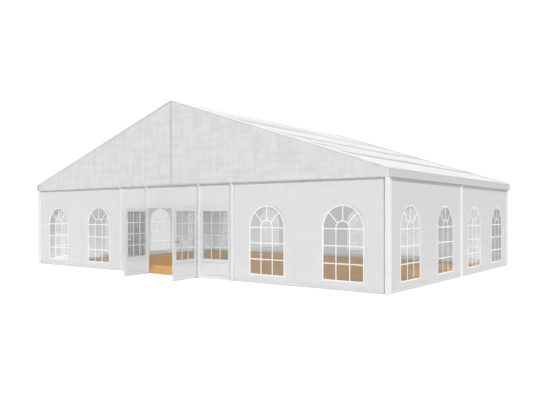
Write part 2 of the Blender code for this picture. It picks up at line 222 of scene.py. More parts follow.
def coated_cloth(name, crease_shade, crease_lit, roughness, creases, fineness, grime):
    """PVC-coated polyester: crease bumps with painted shade in their low parts, weave, a little grime near
    the ground, and painted shade where the dust number says.
    """
    made, tree, shader, place = start_material(name, roughness)
    folds = []
    for along, across in ((2.6, 0.5), (0.5, 2.6)):
        stretch = add_node(tree, "ShaderNodeMapping", {"Vector": place["UV"], "Scale": (along, across, 1.0)})
        noise = {"Vector": stretch, "Scale": fineness, "Detail": 3.0}
        folds.append(add_node(tree, "ShaderNodeTexNoise", noise))
    both = add_node(tree, "ShaderNodeMath", {0: folds[0], 1: folds[1]}, operation="MULTIPLY")
    share = add_node(tree, "ShaderNodeMapRange", {0: both, 1: 0.18, 2: 0.32})
    # Painted shade: the low parts of the creases take the darker tone.
    tones = {0: share, 6: linear(crease_shade), 7: linear(crease_lit)}
    cloth = add_node(tree, "ShaderNodeMix", tones, data_type="RGBA").outputs[2]

    height = add_node(tree, "ShaderNodeSeparateXYZ", {0: place["Object"]}).outputs["Z"]
    fade = {0: height, 1: 0.0, 2: GRIME_HEIGHT, 3: grime, 4: 0.0}
    low = add_node(tree, "ShaderNodeMapRange", fade, interpolation_type="SMOOTHSTEP")
    specks = add_node(tree, "ShaderNodeTexNoise", {"Vector": place["Object"], "Scale": 9.0, "Detail": 5.0})
    splash = add_node(tree, "ShaderNodeMath", {0: low, 1: specks}, operation="MULTIPLY")
    # Painted shade: the number called dust, stored on the roof, darkens the low side of each dip; grime is
    # added to it.
    painted_roof_shade = add_node(tree, "ShaderNodeAttribute", attribute_name="dust").outputs["Fac"]
    dust = add_node(tree, "ShaderNodeMath", {0: splash, 1: painted_roof_shade}, operation="ADD", use_clamp=True)
    tones = {0: dust, 6: cloth, 7: linear(GRIME_AND_SHADE_COLOUR)}
    colour = add_node(tree, "ShaderNodeMix", tones, data_type="RGBA").outputs[2]

    crease = add_node(tree, "ShaderNodeBump", {"Strength": creases, "Distance": 0.02, "Height": both})
    bands = {"Vector": place["UV"], "Scale": WAVE_PERIOD / WEAVE}
    yarns = [add_node(tree, "ShaderNodeTexWave", bands, bands_direction=way).outputs["Fac"] for way in "XY"]
    weave = add_node(tree, "ShaderNodeMath", {0: yarns[0], 1: yarns[1]}, operation="MULTIPLY")
    relief = {"Strength": 0.12, "Distance": 0.0006, "Height": weave, "Normal": crease}
    feed(shader, {"Base Color": colour, "Normal": add_node(tree, "ShaderNodeBump", relief)})
    return made


wall_cloth = coated_cloth("coated_polyester_wall", "CBCBCB", "CDCDCD", 0.50, 0.08, 1.6, 0.12)
# Painted shade: the side walls take a darker copy of the same cloth.
side_cloth_shaded = coated_cloth("coated_polyester_side_shaded", "C2C2C2", "C4C4C4", 0.50, 0.08, 1.6, 0.12)
gable_cloth = coated_cloth("coated_polyester_gable", "C5C5C5", "CDCDCD", 0.50, 0.34, 2.4, 0.0)
roof_cloth = coated_cloth("coated_polyester_roof", "EEEEEE", "F2F2F2", 0.60, 0.20, 1.6, 0.0)
feed(roof_cloth.node_tree.nodes["Principled BSDF"], {"Specular IOR Level": 0.2})
print("cloth materials for walls, sides, gables and roof")

# %% [markdown]
# ## Clear film and welded strips
# The windows are panes of clear soft PVC, welded into the cloth. The film is never quite flat, so
# it mirrors the sky in upright streaks, and it looks a little milky. The streaks are ripples in its
# surface and also two tones in its tint, which are painted reflection. The doors hold float glass,
# which is flatter and a little darker, with the same painted streaks. White PVC strips are welded
# over the film to imitate glazing bars; they are smooth and slightly glossy.
# An alpha below one lets the camera see through a sheet without the noise of true refraction.
# Faces of a strip that look into the tent have a painted glow, an emission that stands in for
# daylight coming through the strip: a number stored on the faces, here called glow, says how much.

# %% Film and strip materials
def clear_sheet(name, tones, alpha, roughness, streaks_a_metre, stretch_up):
    """A see-through sheet with upright streaks in its surface, and the same streaks in its tint as painted
    reflection.
    """
    made, tree, shader, place = start_material(name, roughness)
    stretch = {"Vector": place["Object"], "Scale": (1.0, 1.0, stretch_up)}
    noise = {"Vector": add_node(tree, "ShaderNodeMapping", stretch), "Scale": streaks_a_metre, "Detail": 2.0}
    streaks = add_node(tree, "ShaderNodeTexNoise", noise)
    # Painted reflection: the streaks pick between two tints.
    share = add_node(tree, "ShaderNodeMapRange", {0: streaks, 1: 0.35, 2: 0.65})
    two_tones(tree, shader, share, tones, streaks, 0.25, 0.004)
    feed(shader, {"Alpha": alpha, "IOR": 1.5})
    return made


window_film = clear_sheet("clear_soft_pvc_film", ("A6A7A6", "B8B9B8"), 0.105, 0.15, 14.0, 0.03)
door_glass = clear_sheet("float_glass", ("717373", "8F9190"), 0.212, 0.05, 11.0, 0.02)
strip = speckled("welded_white_pvc_strip", ("E9E9E9", "E2E2E2"), 0.32, 14.0, 3.0, 0.2, 0.001)
# Painted glow: the strip emits white where its faces store a glow number.
glow = add_node(strip.node_tree, "ShaderNodeAttribute", attribute_name="glow").outputs["Fac"]
feed(strip.node_tree.nodes["Principled BSDF"], {"Emission Color": WHITE, "Emission Strength": glow})
print("film, glass and strip made")

# %% [markdown]
# ## Metals
# The legs, posts and fascia are extruded aluminium with a baked white powder coat, which has a
# fine orange-peel skin, here 3 mm across. The rafters and purlins are bare anodised aluminium, a
# dull silver with fine draw lines, which are drawn along the rafters. The door profiles have a
# smoother, harder coat.

# %% Metal and coat materials
def powder_coat(name, tones, roughness, peel):
    """A baked powder coat: even colour, orange-peel bump, a little dust."""
    made, tree, shader, place = start_material(name, roughness)
    dust = add_node(tree, "ShaderNodeTexNoise", {"Vector": place["Object"], "Scale": 2.5, "Detail": 5.0})
    cells = {"Vector": place["Object"], "Scale": 1.0 / peel}
    skin = add_node(tree, "ShaderNodeTexVoronoi", cells, feature="SMOOTH_F1")
    two_tones(tree, shader, dust, tones, skin, 0.15, 0.0004)
    return made


frame_coat = powder_coat("powder_coated_aluminium", ("DCDCDD", "D5D5D6"), 0.35, 0.003)
fascia_coat = powder_coat("powder_coated_eave_profile", ("BFBFC0", "BBBBBC"), 0.38, 0.003)
cover_coat = powder_coat("powder_coated_post_cover", ("D6D6D7", "D0D0D1"), 0.35, 0.003)
panel_coat = powder_coat("powder_coated_door_surround", ("D1D1D2", "CBCBCC"), 0.30, 0.002)
door_coat = powder_coat("powder_coated_door_profile", ("CACACB", "C3C3C4"), 0.30, 0.002)

bare_metal, tree, shader, place = start_material("anodised_aluminium_extrusion", 0.38, 1.0)
stretch = {"Vector": place["Object"], "Scale": (1.0, 60.0, 60.0)}
noise = {"Vector": add_node(tree, "ShaderNodeMapping", stretch), "Scale": 3.0, "Detail": 4.0}
lines = add_node(tree, "ShaderNodeTexNoise", noise)
two_tones(tree, shader, lines, ("D6D7D8", "C2C4C6"))
dull = add_node(tree, "ShaderNodeMapRange", {0: lines, 1: 0.3, 2: 0.7, 3: 0.32, 4: 0.46})
feed(shader, {"Roughness": dull})
print("metals made")

# %% [markdown]
# ## Wood, nylon and rubber
# The floor is pine boards with an orange-brown oil. Each board has a tone of its own, which comes
# from a number stored on the board, and grain that runs along it in streaks a few centimetres
# wide. The door handles and the zip are glass-filled nylon, and the hinge seals are grey rubber.
# The same grey finish makes the strips beside three front posts, which are painted shadow. Nylon
# and rubber are moulded, with a fine spark texture that is drawn at about 1 mm.

# %% Wood, nylon and rubber materials
oiled_pine, tree, shader, place = start_material("oiled_pine_boards", 0.45)
board_tone = add_node(tree, "ShaderNodeAttribute", attribute_name="tone").outputs
own_part = {0: board_tone["Vector"], 1: (9.0, 5.0, 7.0)}
jump = add_node(tree, "ShaderNodeVectorMath", own_part, operation="MULTIPLY")
apart = add_node(tree, "ShaderNodeVectorMath", {0: place["Object"], 1: jump})
stretch = add_node(tree, "ShaderNodeMapping", {"Vector": apart, "Scale": (1.2, 22.0, 22.0)})
noise = {"Vector": stretch, "Scale": 1.6, "Detail": 6.0, "Distortion": 0.6}
grain = add_node(tree, "ShaderNodeTexNoise", noise)
ramp = add_node(tree, "ShaderNodeValToRGB", {0: grain})
for stop, position, colour in zip(ramp.color_ramp.elements, (0.30, 0.72), ("C48432", "F2B453")):
    stop.position = position
    stop.color = linear(colour)
shade = add_node(tree, "ShaderNodeMapRange", {0: board_tone["Fac"], 3: 0.86, 4: 1.08})
tinted = add_node(tree, "ShaderNodeVectorMath", {0: ramp, 3: shade}, operation="SCALE")
relief = add_node(tree, "ShaderNodeBump", {"Strength": 0.3, "Distance": 0.0008, "Height": grain})
feed(shader, {"Base Color": tinted, "Normal": relief})

# A moulded surface: its roughness, then the scale, detail, strength and depth of its texture.
MOULDED = (0.42, 900.0, 2.0, 0.3, 0.0002)
handle_nylon = speckled("dark_glass_filled_nylon", ("505254", "5E6062"), *MOULDED)
zip_nylon = speckled("grey_nylon_zip", ("9A9A9B", "A8A8A9"), *MOULDED)
# The same grey finish also paints the shadow strips to the left of three front posts.
rubber_and_painted_shadow = speckled("grey_rubber_seal_and_painted_shadow", ("A4A4A4", "ACACAC"), *MOULDED)
print("wood, nylon and rubber made")

# %% [markdown]
# ## Light and ground
# The photograph shows the tent cut out on white, lit by a soft sun from the front right: posts
# and hems throw thin shadows to the left and down, and the shade stays light because sky and
# ground are white. So there is a broad sun, a weak one from behind, and a mild sky that looks
# pure white only to the camera. White cloth glows on its inside, and soft panels that shine up
# from the floor stand for that daylight, so the walls inside are lit more than the boards: one
# covers the whole floor, and two smaller ones lift the corners on the left.
# The photograph's white is cut out round the tent but not in its windows, where the view through
# is a light grey. So sky and ground are a little darker once a ray has passed a clear sheet, which
# the Transparent Depth of the Light Path node tells.

# %% Light
LIGHT_SKY = 0.355
SEEN_SKY = 1.1
SKY_THROUGH_FILM = 0.78
world = bpy.data.worlds.new("white_sky")
world.use_nodes = True
sky_tree = world.node_tree
ray = add_node(sky_tree, "ShaderNodeLightPath").outputs
darker = {0: ray["Transparent Depth"], 3: SEEN_SKY, 4: SKY_THROUGH_FILM}
through = add_node(sky_tree, "ShaderNodeMapRange", darker)
strength = add_node(sky_tree, "ShaderNodeMapRange", {0: ray["Is Camera Ray"], 3: LIGHT_SKY, 4: through})
feed(sky_tree.nodes["Background"], {"Color": WHITE, "Strength": strength})
bpy.context.scene.world = world
bpy.context.scene.view_settings.view_transform = "Standard"


def add_lamp(name, kind, place, towards, energy, **settings):
    """A lamp at a place, turned towards a point."""
    data = bpy.data.lights.new(name, kind)
    data.energy = energy
    for key, value in settings.items():
        setattr(data, key, value)
    lamp = bpy.data.objects.new(name, data)
    lamp.location = place
    lamp.rotation_euler = (Vector(towards) - Vector(place)).to_track_quat("-Z", "Y").to_euler()
    bpy.context.scene.collection.objects.link(lamp)
    return lamp


add_lamp("sun_front_right", "SUN", (20, -20, 20), (0, 0, 0), 2.8, angle=math.radians(4))
fill = add_lamp("fill_rear_left", "SUN", (-20, 20, 20), (0, 0, 0), 0.72, angle=math.radians(40))
fill.visible_glossy = False
LAMP_HEIGHT = 0.03
# Each soft panel: its name, its place on the floor, its energy, its length and its width.
soft_panels = (
    ("daylight_through_cloth", 0.0, 0.0, 388.0, 14.8, 9.8),
    ("daylight_in_rear_corner", -6.2, 3.5, 32.0, 2.4, 2.8),
    ("daylight_in_front_corner", -6.2, -3.5, 32.0, 2.4, 2.8),
)
for name, x, y, energy, length, width in soft_panels:
    shape = {"shape": "RECTANGLE", "size": length, "size_y": width}
    lamp = add_lamp(name, "AREA", (x, y, LAMP_HEIGHT), (x, y, 3.0), energy, **shape)
    lamp.visible_camera = False
    lamp.visible_glossy = False
print("lamps", 2 + len(soft_panels))

# %% Ground
GROUND_REACH = 250.0
GROUND_HEIGHT = -0.002
ground_material, tree, shader, place = start_material("pale_studio_floor", 0.9)
speck = add_node(tree, "ShaderNodeTexNoise", {"Vector": place["Object"], "Scale": 0.5, "Detail": 2.0})
specked = {0: speck, 6: linear("FAFAFA"), 7: linear("F8F8F8")}
tone = add_node(tree, "ShaderNodeMix", specked, data_type="RGBA").outputs[2]
depth = add_node(tree, "ShaderNodeLightPath").outputs["Transparent Depth"]
darker = {0: depth, 6: tone, 7: linear("E5E5E5")}
seen = add_node(tree, "ShaderNodeMix", darker, data_type="RGBA").outputs[2]
lift = add_node(tree, "ShaderNodeMapRange", {0: depth, 3: 0.19, 4: 0.0})
feed(shader, {"Base Color": seen, "Emission Color": WHITE, "Emission Strength": lift})
ground_mesh = bpy.data.meshes.new("ground")
ends = (-GROUND_REACH, GROUND_REACH)
corners = [(x, y, GROUND_HEIGHT) for y in ends for x in ends]
ground_mesh.from_pydata(corners, [], [(0, 1, 3, 2)])
ground_mesh.materials.append(ground_material)
ground = bpy.data.objects.new("ground", ground_mesh)
bpy.context.scene.collection.objects.link(ground)
ground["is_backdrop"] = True
print("ground", 2 * GROUND_REACH, "m wide")

# %% [markdown]
# ## From points to pieces
# A sheet of cloth is a grid of points whose heights follow a rule, and a profile is a tube: one
# outline repeated along a line. These helpers turn points and faces into a mesh, with a UV map in
# metres, and a mesh into a piece: its finish, the thickness of real cloth with a Solidify modifier,
# so that both faces and every edge are closed, and the body it rides on.

# %% Helpers for meshes
MERGE = 0.0005


def grid_faces(rows, columns, join_rows=0, join_columns=0):
    """The quads of a grid numbered row by row. A one joins the last row or column to the first."""
    index = np.arange(rows * columns).reshape(rows, columns)
    index = np.pad(index, ((0, join_rows), (0, join_columns)), mode="wrap")
    corners = [index[:-1, :-1], index[:-1, 1:], index[1:, 1:], index[1:, :-1]]
    return np.stack(corners, -1).reshape(-1, 4)


def mesh_of(name, points, faces, flat=None):
    """A mesh from points and faces, with a UV map in metres if flat places are given."""
    mesh = bpy.data.meshes.new(name)
    mesh.from_pydata([tuple(p) for p in points], [], [tuple(int(k) for k in f) for f in faces])
    if flat is not None:
        corner = np.zeros(len(mesh.loops), np.int32)
        mesh.loops.foreach_get("vertex_index", corner)
        layer = mesh.uv_layers.new(name="cloth")
        layer.data.foreach_set("uv", np.asarray(flat)[corner].astype(np.float32).ravel())
    return mesh


def sheet_mesh(name, x, y, z, flat=None):
    """A grid of places as a mesh. flat holds the places of its points on the cut cloth."""
    points = np.stack([x, y, z], -1).reshape(-1, 3)
    if flat is not None:
        flat = np.stack(flat, -1).reshape(-1, 2)
    return mesh_of(name, points, grid_faces(*x.shape), flat)


def weld(mesh):
    """Merge points that meet, and point the faces outwards."""
    work = bmesh.new()
    work.from_mesh(mesh)
    bmesh.ops.remove_doubles(work, verts=work.verts, dist=MERGE)
    bmesh.ops.recalc_face_normals(work, faces=work.faces)
    work.to_mesh(mesh)
    work.free()
    return mesh


def tube_mesh(name, outlines):
    """A closed shape from a row of equal outlines: a skin between them and a face at each end."""
    outlines = np.array(outlines, float)
    rows, count = outlines.shape[:2]
    ends = [range(count), range((rows - 1) * count, rows * count)]
    return weld(mesh_of(name, outlines.reshape(-1, 3), [*grid_faces(rows, count, 0, 1), *ends]))


def joined(parts):
    """Points and faces of several parts in one, with the faces numbered on from part to part."""
    points, faces, start = [], [], 0
    for some, quads in parts:
        faces += [[k + start for k in face] for face in quads]
        points.append(some)
        start += len(some)
    return np.concatenate(points), faces


print("a tube of 3 rows and 4 columns has", len(grid_faces(3, 4, 0, 1)), "quads")

# %% From a mesh to a piece
def store(mesh, name, domain, values):
    """Keep a number on every point or face, for a material or a tree to read."""
    mesh.attributes.new(name, "FLOAT", domain).data.foreach_set("value", values)


def make_piece(name, mesh, material, body="tent", thickness=None, smooth=True):
    """A mesh as a piece at the origin, with its finish, thickness and body."""
    mesh.materials.clear()
    mesh.materials.append(material)
    mesh.polygons.foreach_set("use_smooth", [smooth] * len(mesh.polygons))
    piece = bpy.data.objects.new(name, mesh)
    bpy.context.scene.collection.objects.link(piece)
    if thickness:
        step = piece.modifiers.new("thickness", "SOLIDIFY")
        step.thickness = thickness
        step.offset = 0.0
    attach(piece, body)
    print(name, len(mesh.polygons), "faces")
    return piece


# %% [markdown]
# ## Roof cloth
# Each bay has one sheet that runs from eave to eave over the ridge. Its edges slide in tracks on
# the rafters, which hold them straight; the ridge, the purlin half-way down and the seams hold it
# along lines, and between those it sags a centimetre or two. From low down the roof is seen almost
# edge on, so what shows is a stack of bands: the low side of each dip is painted darker, as painted
# shade.
# The sag is a product of two curves: one along the slope between hold lines, one across the bay.
# Each point also stores how much painted shade lies on it, in a number called dust, for the cloth
# material to read. A band of painted shade wanders a little along the tent, so its line and its
# amount are given at five stations from the front to the rear and drawn straight between them.

# %% How the roof hangs
CLOTH = 0.0015
HOLD_LINES = (0.0, 3.20, 5.00, 6.40, FASCIA_OUT)
HOLD_DIPS = (0.020, 0.010, 0.010, 0.008)
RAFTER_REST = 0.06
RIDGE_ROUND = 0.02
# Each band of painted shade: its line at the stations, its reach up and down the slope, its amount at the
# stations.
SHADE_STATIONS = (-5.0, -2.5, 0.0, 2.5, 5.0)
SHADE_BANDS = (
    ((2.40, 2.36, 2.25, 2.46, 2.50), 1.70, 0.40, (0.40, 0.44, 0.34, 0.30, 0.30)),
    ((3.95, 4.10, 4.40, 4.22, 4.05), 0.60, 0.42, (0.46, 0.48, 0.46, 0.44, 0.40)),
    ((5.15, 5.20, 5.20, 5.20, 5.20), 0.45, 0.30, (0.75, 0.00, 0.00, 0.00, 0.00)),
    ((5.92, 5.97, 6.05, 6.12, 6.15), 0.42, 0.30, (0.56, 0.64, 0.82, 0.62, 0.54)),
)


def soft_noise(u, v, lengths, amount, seed):
    """A smooth random surface made from a few sine waves."""
    waves = np.random.default_rng(seed)
    total = np.zeros(np.broadcast(u, v).shape)
    for length in lengths:
        turn = waves.uniform(0, 2 * math.pi)
        phase = waves.uniform(0, 2 * math.pi)
        total += np.sin(2 * math.pi / length * (u * math.cos(turn) + v * math.sin(turn)) + phase)
    return amount * total / len(lengths)


def roof_line(x):
    """Height of the top of the CAD roof, with its ridge a little rounded."""
    return RIDGE_HEIGHT - ROOF_SLOPE * np.sqrt(x * x + RIDGE_ROUND**2)


def slope_dip(x):
    """Sag between the lines that hold the cloth, at a distance from the ridge."""
    away = np.abs(x)
    dip = np.zeros_like(away)
    for start, end, depth in zip(HOLD_LINES, HOLD_LINES[1:], HOLD_DIPS):
        share = np.clip((away - start) / (end - start), 0, 1)
        dip += depth * 4 * share * (1 - share)
    return dip


def bay_dip(y):
    """How much of that sag there is across the bay: none over the rafters, all in the middle."""
    share = np.clip((np.abs(y) - RAFTER_REST) / (RAFTER_EDGE - RAFTER_REST), 0, 1)
    return 1 - np.abs(2 * share - 1) ** 2.6


def roof_height(x, y):
    """Height of the roof cloth, which lies in the middle of the CAD roof's thickness."""
    loose = soft_noise(x, y, (1.9, 1.3, 0.8, 0.6), 0.2, 11)
    return roof_line(x) - ROOF_THICKNESS / 2 - slope_dip(x) * bay_dip(y) * (1 + loose)


def dip_painted_shade(x, y):
    """Painted shade at the low side of each dip: a band that grows down the slope and then stops."""
    away = np.abs(x)
    dust = np.zeros_like(away)
    for lines, above, below, amounts in SHADE_BANDS:
        line = np.interp(y, SHADE_STATIONS, lines)
        grow = np.clip(1 - (line - away) / above, 0, 1) * (away <= line)
        stop = np.clip(1 - (away - line) / below, 0, 1) * (away > line)
        amount = np.interp(y, SHADE_STATIONS, amounts)
        dust = np.maximum(dust, amount * np.maximum(grow**1.5, stop))
    return dust


deepest = slope_dip(np.linspace(0, FASCIA_OUT, 1000)).max()
print("deepest dip", round(1000 * float(deepest)), "mm")

# %% Roof cloth
SHEET_JOINT = 0.002
for end, start, stop in (("front", -FASCIA_REACH, -SHEET_JOINT), ("rear", SHEET_JOINT, FASCIA_REACH)):
    half = np.linspace(0, FASCIA_OUT, 120)
    xs = np.concatenate([-half[:0:-1], half])
    ys = np.linspace(start, stop, 53)
    x, y = np.meshgrid(xs, ys)
    z = roof_height(x, y)
    along = np.concatenate([[0], np.cumsum(np.hypot(np.diff(xs), np.diff(z[0])))])
    mesh = sheet_mesh(f"roof_cloth_{end}", x, y, z, np.meshgrid(along, ys))
    # The number called dust holds the painted shade of the dips.
    store(mesh, "dust", "POINT", dip_painted_shade(x, y).ravel())
    piece = make_piece(f"roof_cloth_{end}", mesh, roof_cloth, thickness=CLOTH)
    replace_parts(piece, f"roof_cover_{end}_left", f"roof_cover_{end}_right")

# %% [markdown]
# ## Rafter covers
# Where two roof sheets meet, and along both gables, a white strip covers the track. At the gables
# it is a raised bead that also turns down over the edge of both cloths, so the rake shows as a
# clean bright line. The strip is a profile swept along the roof line from eave to eave.

# %% Rafter covers
RAKE = [(-5.0668, 0.018), (-5.0692, 0.017), (-5.0692, -0.018), (-5.0655, -0.022)]
RAKE += [(-5.0500, -0.022), (-5.0400, -0.003), (-5.0668, -0.003)]
JOINT = [(-0.055, 0.004), (-0.050, -0.002), (0.050, -0.002), (0.055, 0.004)]
# Profiles are (y, drop) points. A -1 mirrors the profile, for the rear gable.
ROOF_COVERS = {
    "rake_cover_front": (1, RAKE),
    "rake_cover_rear": (-1, RAKE),
    "rafter_cover_middle": (1, JOINT),
}
for name, (way, profile) in ROOF_COVERS.items():
    xs = np.linspace(-FASCIA_OUT, FASCIA_OUT, 121)
    outlines = [[(x, way * y, roof_line(x) - drop) for y, drop in profile] for x in xs]
    make_piece(name, tube_mesh(name, outlines), strip, smooth=False)

# %% [markdown]
# ## Gable cloth
# The triangle over the walls is one sheet with a zip in the middle and a flap beside it. It
# hangs from the rafters, so it carries soft upright waves that fade towards its edges.
# Its grid follows its outline: every column runs from the hem to the rake.

# %% How the gables hang
GABLE_FACE = 5.0570
GABLE_SIDE = LEG_OUT - GAP
GABLE_UNDER_ROOF = 0.016
GABLE_LEAN = 0.0035
GABLE_STILL = 7.45
SIDE_FADE = 0.4
FADE = 0.5


def gable_top(x):
    """Top edge of the gable cloth, just under the roof."""
    return roof_line(x) - GABLE_UNDER_ROOF


def gable_push(x, z, seed):
    """How far the gable cloth waves out of its plane."""
    drop = np.clip((gable_top(x) - z) / FADE, 0, 1)
    rise = np.clip((z - GABLE_BOTTOM) / FADE, 0, 1)
    edge = drop * rise * np.clip((GABLE_STILL - np.abs(x)) / SIDE_FADE, 0, 1)
    upright = soft_noise(x, z * 0.25, (1.7, 1.1, 0.7, 0.45), 0.005, seed)
    waves = upright + soft_noise(x, z, (2.8, 1.9), 0.002, seed + 1)
    return edge * waves + GABLE_LEAN * ((1 - drop) * rise - (1 - rise))


print("gable cloth is", round(float(gable_top(0.0)) - GABLE_BOTTOM, 2), "m high in the middle")

# %% Gable cloth
# For each gable, the way it faces along Y and the seed of its waves.
GABLES = {"front": (-1, 21), "rear": (1, 25)}
# Across the flap: places from the middle of the gable, and how far each stands out.
FLAP_ACROSS = np.array([0.014, 0.017, 0.038, 0.060, 0.063])
FLAP_RISE = np.array([0.001, 0.005, 0.006, 0.005, 0.001])
FLAP_OUT = 0.002
FLAP_FOOT = 0.003
FLAP_HEAD = 0.01
for end, (sign, seed) in GABLES.items():
    xs = np.linspace(-GABLE_SIDE, GABLE_SIDE, 171)
    shares = np.linspace(0, 1, 31)
    x, share = np.meshgrid(xs, shares)
    z = GABLE_BOTTOM + share * (gable_top(x) - GABLE_BOTTOM)
    y = sign * (GABLE_FACE + gable_push(x, z, seed))
    name = f"gable_cloth_{end}"
    mesh = sheet_mesh(name, x, y, z, (x, z))
    piece = make_piece(name, mesh, gable_cloth, thickness=CLOTH)
    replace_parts(piece, f"gable_cover_{end}")
    height = RIDGE_HEIGHT - GABLE_BOTTOM

    x, share = np.meshgrid(FLAP_ACROSS * -sign, shares)
    z = GABLE_BOTTOM + FLAP_FOOT + share * (gable_top(x) - FLAP_HEAD - GABLE_BOTTOM)
    y = sign * (GABLE_FACE + gable_push(x, z, seed) + FLAP_OUT + FLAP_RISE)
    mesh = sheet_mesh(name + "_flap", x, y, z, (x, z))
    flap = make_piece(name + "_flap", mesh, gable_cloth, thickness=CLOTH)

# %% [markdown]
# ## Wall cloth with arched openings
# Every bay of wall is one sheet with two arched openings. To leave the openings free without a
# cut, each window gets rings of quads that grow from the arch out to the edge of its half of the
# bay. The same rule that waves the cloth also moves the film and the bars, so they stay welded
# together. Along a wall, places are counted to the right as one faces it from outside.

# %% Places on the walls
CORNER_FRONT = LEG_OUT - LEG_SIZE - GAP
CORNER_SIDE = LEG_FRONT - LEG_SIZE - GAP
LEG_SIDE = LEG_SIZE / 2 + GAP
POST_OUTSIDE = POST_AT + POST_WIDTH / 2 + GAP
POST_INSIDE = POST_AT - POST_WIDTH / 2 - GAP
# For each bay, its wall, its two ends and the place half-way between its windows.
BAYS = {
    "front_left": ("front", -CORNER_FRONT, -POST_OUTSIDE, -5.0),
    "front_right": ("front", POST_OUTSIDE, CORNER_FRONT, 5.0),
    "rear_right": ("rear", -CORNER_FRONT, -POST_OUTSIDE, -5.0),
    "rear_middle": ("rear", -POST_INSIDE, POST_INSIDE, 0.0),
    "rear_left": ("rear", POST_OUTSIDE, CORNER_FRONT, 5.0),
    "right_front": ("right", -CORNER_SIDE, -LEG_SIDE, -2.5),
    "right_rear": ("right", LEG_SIDE, CORNER_SIDE, 2.5),
    "left_rear": ("left", -CORNER_SIDE, -LEG_SIDE, -2.5),
    "left_front": ("left", LEG_SIDE, CORNER_SIDE, 2.5),
}
WALL_FADE = 0.35
TURNS = {"front": 0.0, "rear": math.pi, "right": math.pi / 2, "left": -math.pi / 2}
DEPTHS = {"front": HALF_LENGTH, "rear": HALF_LENGTH, "right": HALF_SPAN, "left": HALF_SPAN}


def wall_push(side, u, z):
    """How far a wall leans out of its plane: soft waves that end at the posts and the top."""
    seed = 40 + list(TURNS).index(side)
    edge = np.zeros(np.broadcast(u, z).shape)
    for wall, low, high, _ in BAYS.values():
        if wall == side:
            edge = np.maximum(edge, np.clip(np.minimum(u - low, high - u) / WALL_FADE, 0, 1))
    fade = edge * edge * (3 - 2 * edge) * np.clip((WALL_TOP - z) / FADE, 0, 1)
    upright = soft_noise(u, z * 0.2, (1.5, 0.9, 0.55), 0.0045, seed)
    return fade * (upright + soft_noise(u, z, (2.3, 1.2), 0.002, seed + 7))


def on_wall(side, u, out, z):
    """Turn places along, out of and up a wall into world points."""
    away = DEPTHS[side] + out
    turn = TURNS[side]
    x = math.cos(turn) * u + math.sin(turn) * away
    y = math.sin(turn) * u - math.cos(turn) * away
    return np.stack([x, y, z + 0 * u], -1)


print("bays of wall", len(BAYS))

# %% [markdown]
# The loops below walk once round a window and once round its half of the bay, with one point of
# the outer loop for each point of the arch. The corners of the bay get points of their own.

# %% Loops round a window
SIDE_STEPS = 14
LOW_STEPS = 8
TOP_STEPS = 18
CORNER_ANGLE = 0.8
RINGS = 14


def steps(start, end, count):
    """Even steps from a start towards an end, without the end itself."""
    return np.linspace(start, end, count, endpoint=False)


def arch_loop(radius, sill):
    """Points (u, z) round an arch, from the right end of the sill up, over and back."""
    angles = np.concatenate([
        steps(0, CORNER_ANGLE, LOW_STEPS),
        steps(CORNER_ANGLE, math.pi - CORNER_ANGLE, TOP_STEPS),
        steps(math.pi - CORNER_ANGLE, math.pi, LOW_STEPS),
    ])
    return np.concatenate([
        steps((radius, sill), (radius, WINDOW_SPRING), SIDE_STEPS),
        np.stack([radius * np.cos(angles), WINDOW_SPRING + radius * np.sin(angles)], -1),
        steps((-radius, WINDOW_SPRING), (-radius, sill), SIDE_STEPS),
        steps((-radius, sill), (radius, sill), SIDE_STEPS),
    ])


def cell_loop(left, right):
    """The matching points round a half bay, whose ends are counted from the window's middle."""
    corners = [(right, WALL_BOTTOM), (right, WINDOW_SPRING), (right, WALL_TOP), (left, WALL_TOP)]
    corners += [(left, WINDOW_SPRING), (left, WALL_BOTTOM), (right, WALL_BOTTOM)]
    counts = (SIDE_STEPS, LOW_STEPS, TOP_STEPS, LOW_STEPS, SIDE_STEPS, SIDE_STEPS)
    return np.concatenate([steps(*run) for run in zip(corners, corners[1:], counts)])


def window_cell(centre, low, high):
    """Rings of points from one arch out to the edge of its half bay, with their quads."""
    arch = arch_loop(WINDOW_RADIUS, WINDOW_SILL)
    share = np.linspace(0, 1, RINGS + 1)[:, None, None]
    rings = arch + share * (cell_loop(low - centre, high - centre) - arch) + (centre, 0)
    return rings.reshape(-1, 2), grid_faces(RINGS + 1, len(arch), 0, 1)


print("points round a window", len(arch_loop(WINDOW_RADIUS, WINDOW_SILL)))

# %% Wall cloth
WALL_OUT = -0.0030
for bay, (side, low, high, middle) in BAYS.items():
    left_cell = window_cell(middle - WINDOW_OFFSET, low, middle)
    flat, faces = joined([left_cell, window_cell(middle + WINDOW_OFFSET, middle, high)])
    u, z = flat.T
    points = on_wall(side, u, WALL_OUT + wall_push(side, u, z), z)
    mesh = weld(mesh_of(bay + "_wall_cloth", points, faces, flat))
    # Side walls take the darker copy of the cloth, which is painted shade.
    cloth = wall_cloth if side in ("front", "rear") else side_cloth_shaded
    piece = make_piece(bay + "_wall_cloth", mesh, cloth, thickness=CLOTH)
    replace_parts(piece, bay + "_wall")
    width, height = high - low, WALL_TOP - WALL_BOTTOM

# %% [markdown]
# ## Window film
# The film of each bay is two arched panes, a little larger than the openings, welded on from
# behind. It is softer than the cloth and ripples more. Each pane is rings that shrink to a point.

# %% Window film
FILM = 0.0008
FILM_OUT = -0.0060
FILM_MARGIN = 0.03
FILM_RADIUS = WINDOW_RADIUS + FILM_MARGIN
PANE_MIDDLE = (0.0, 1.15)
PANE_RINGS = 12


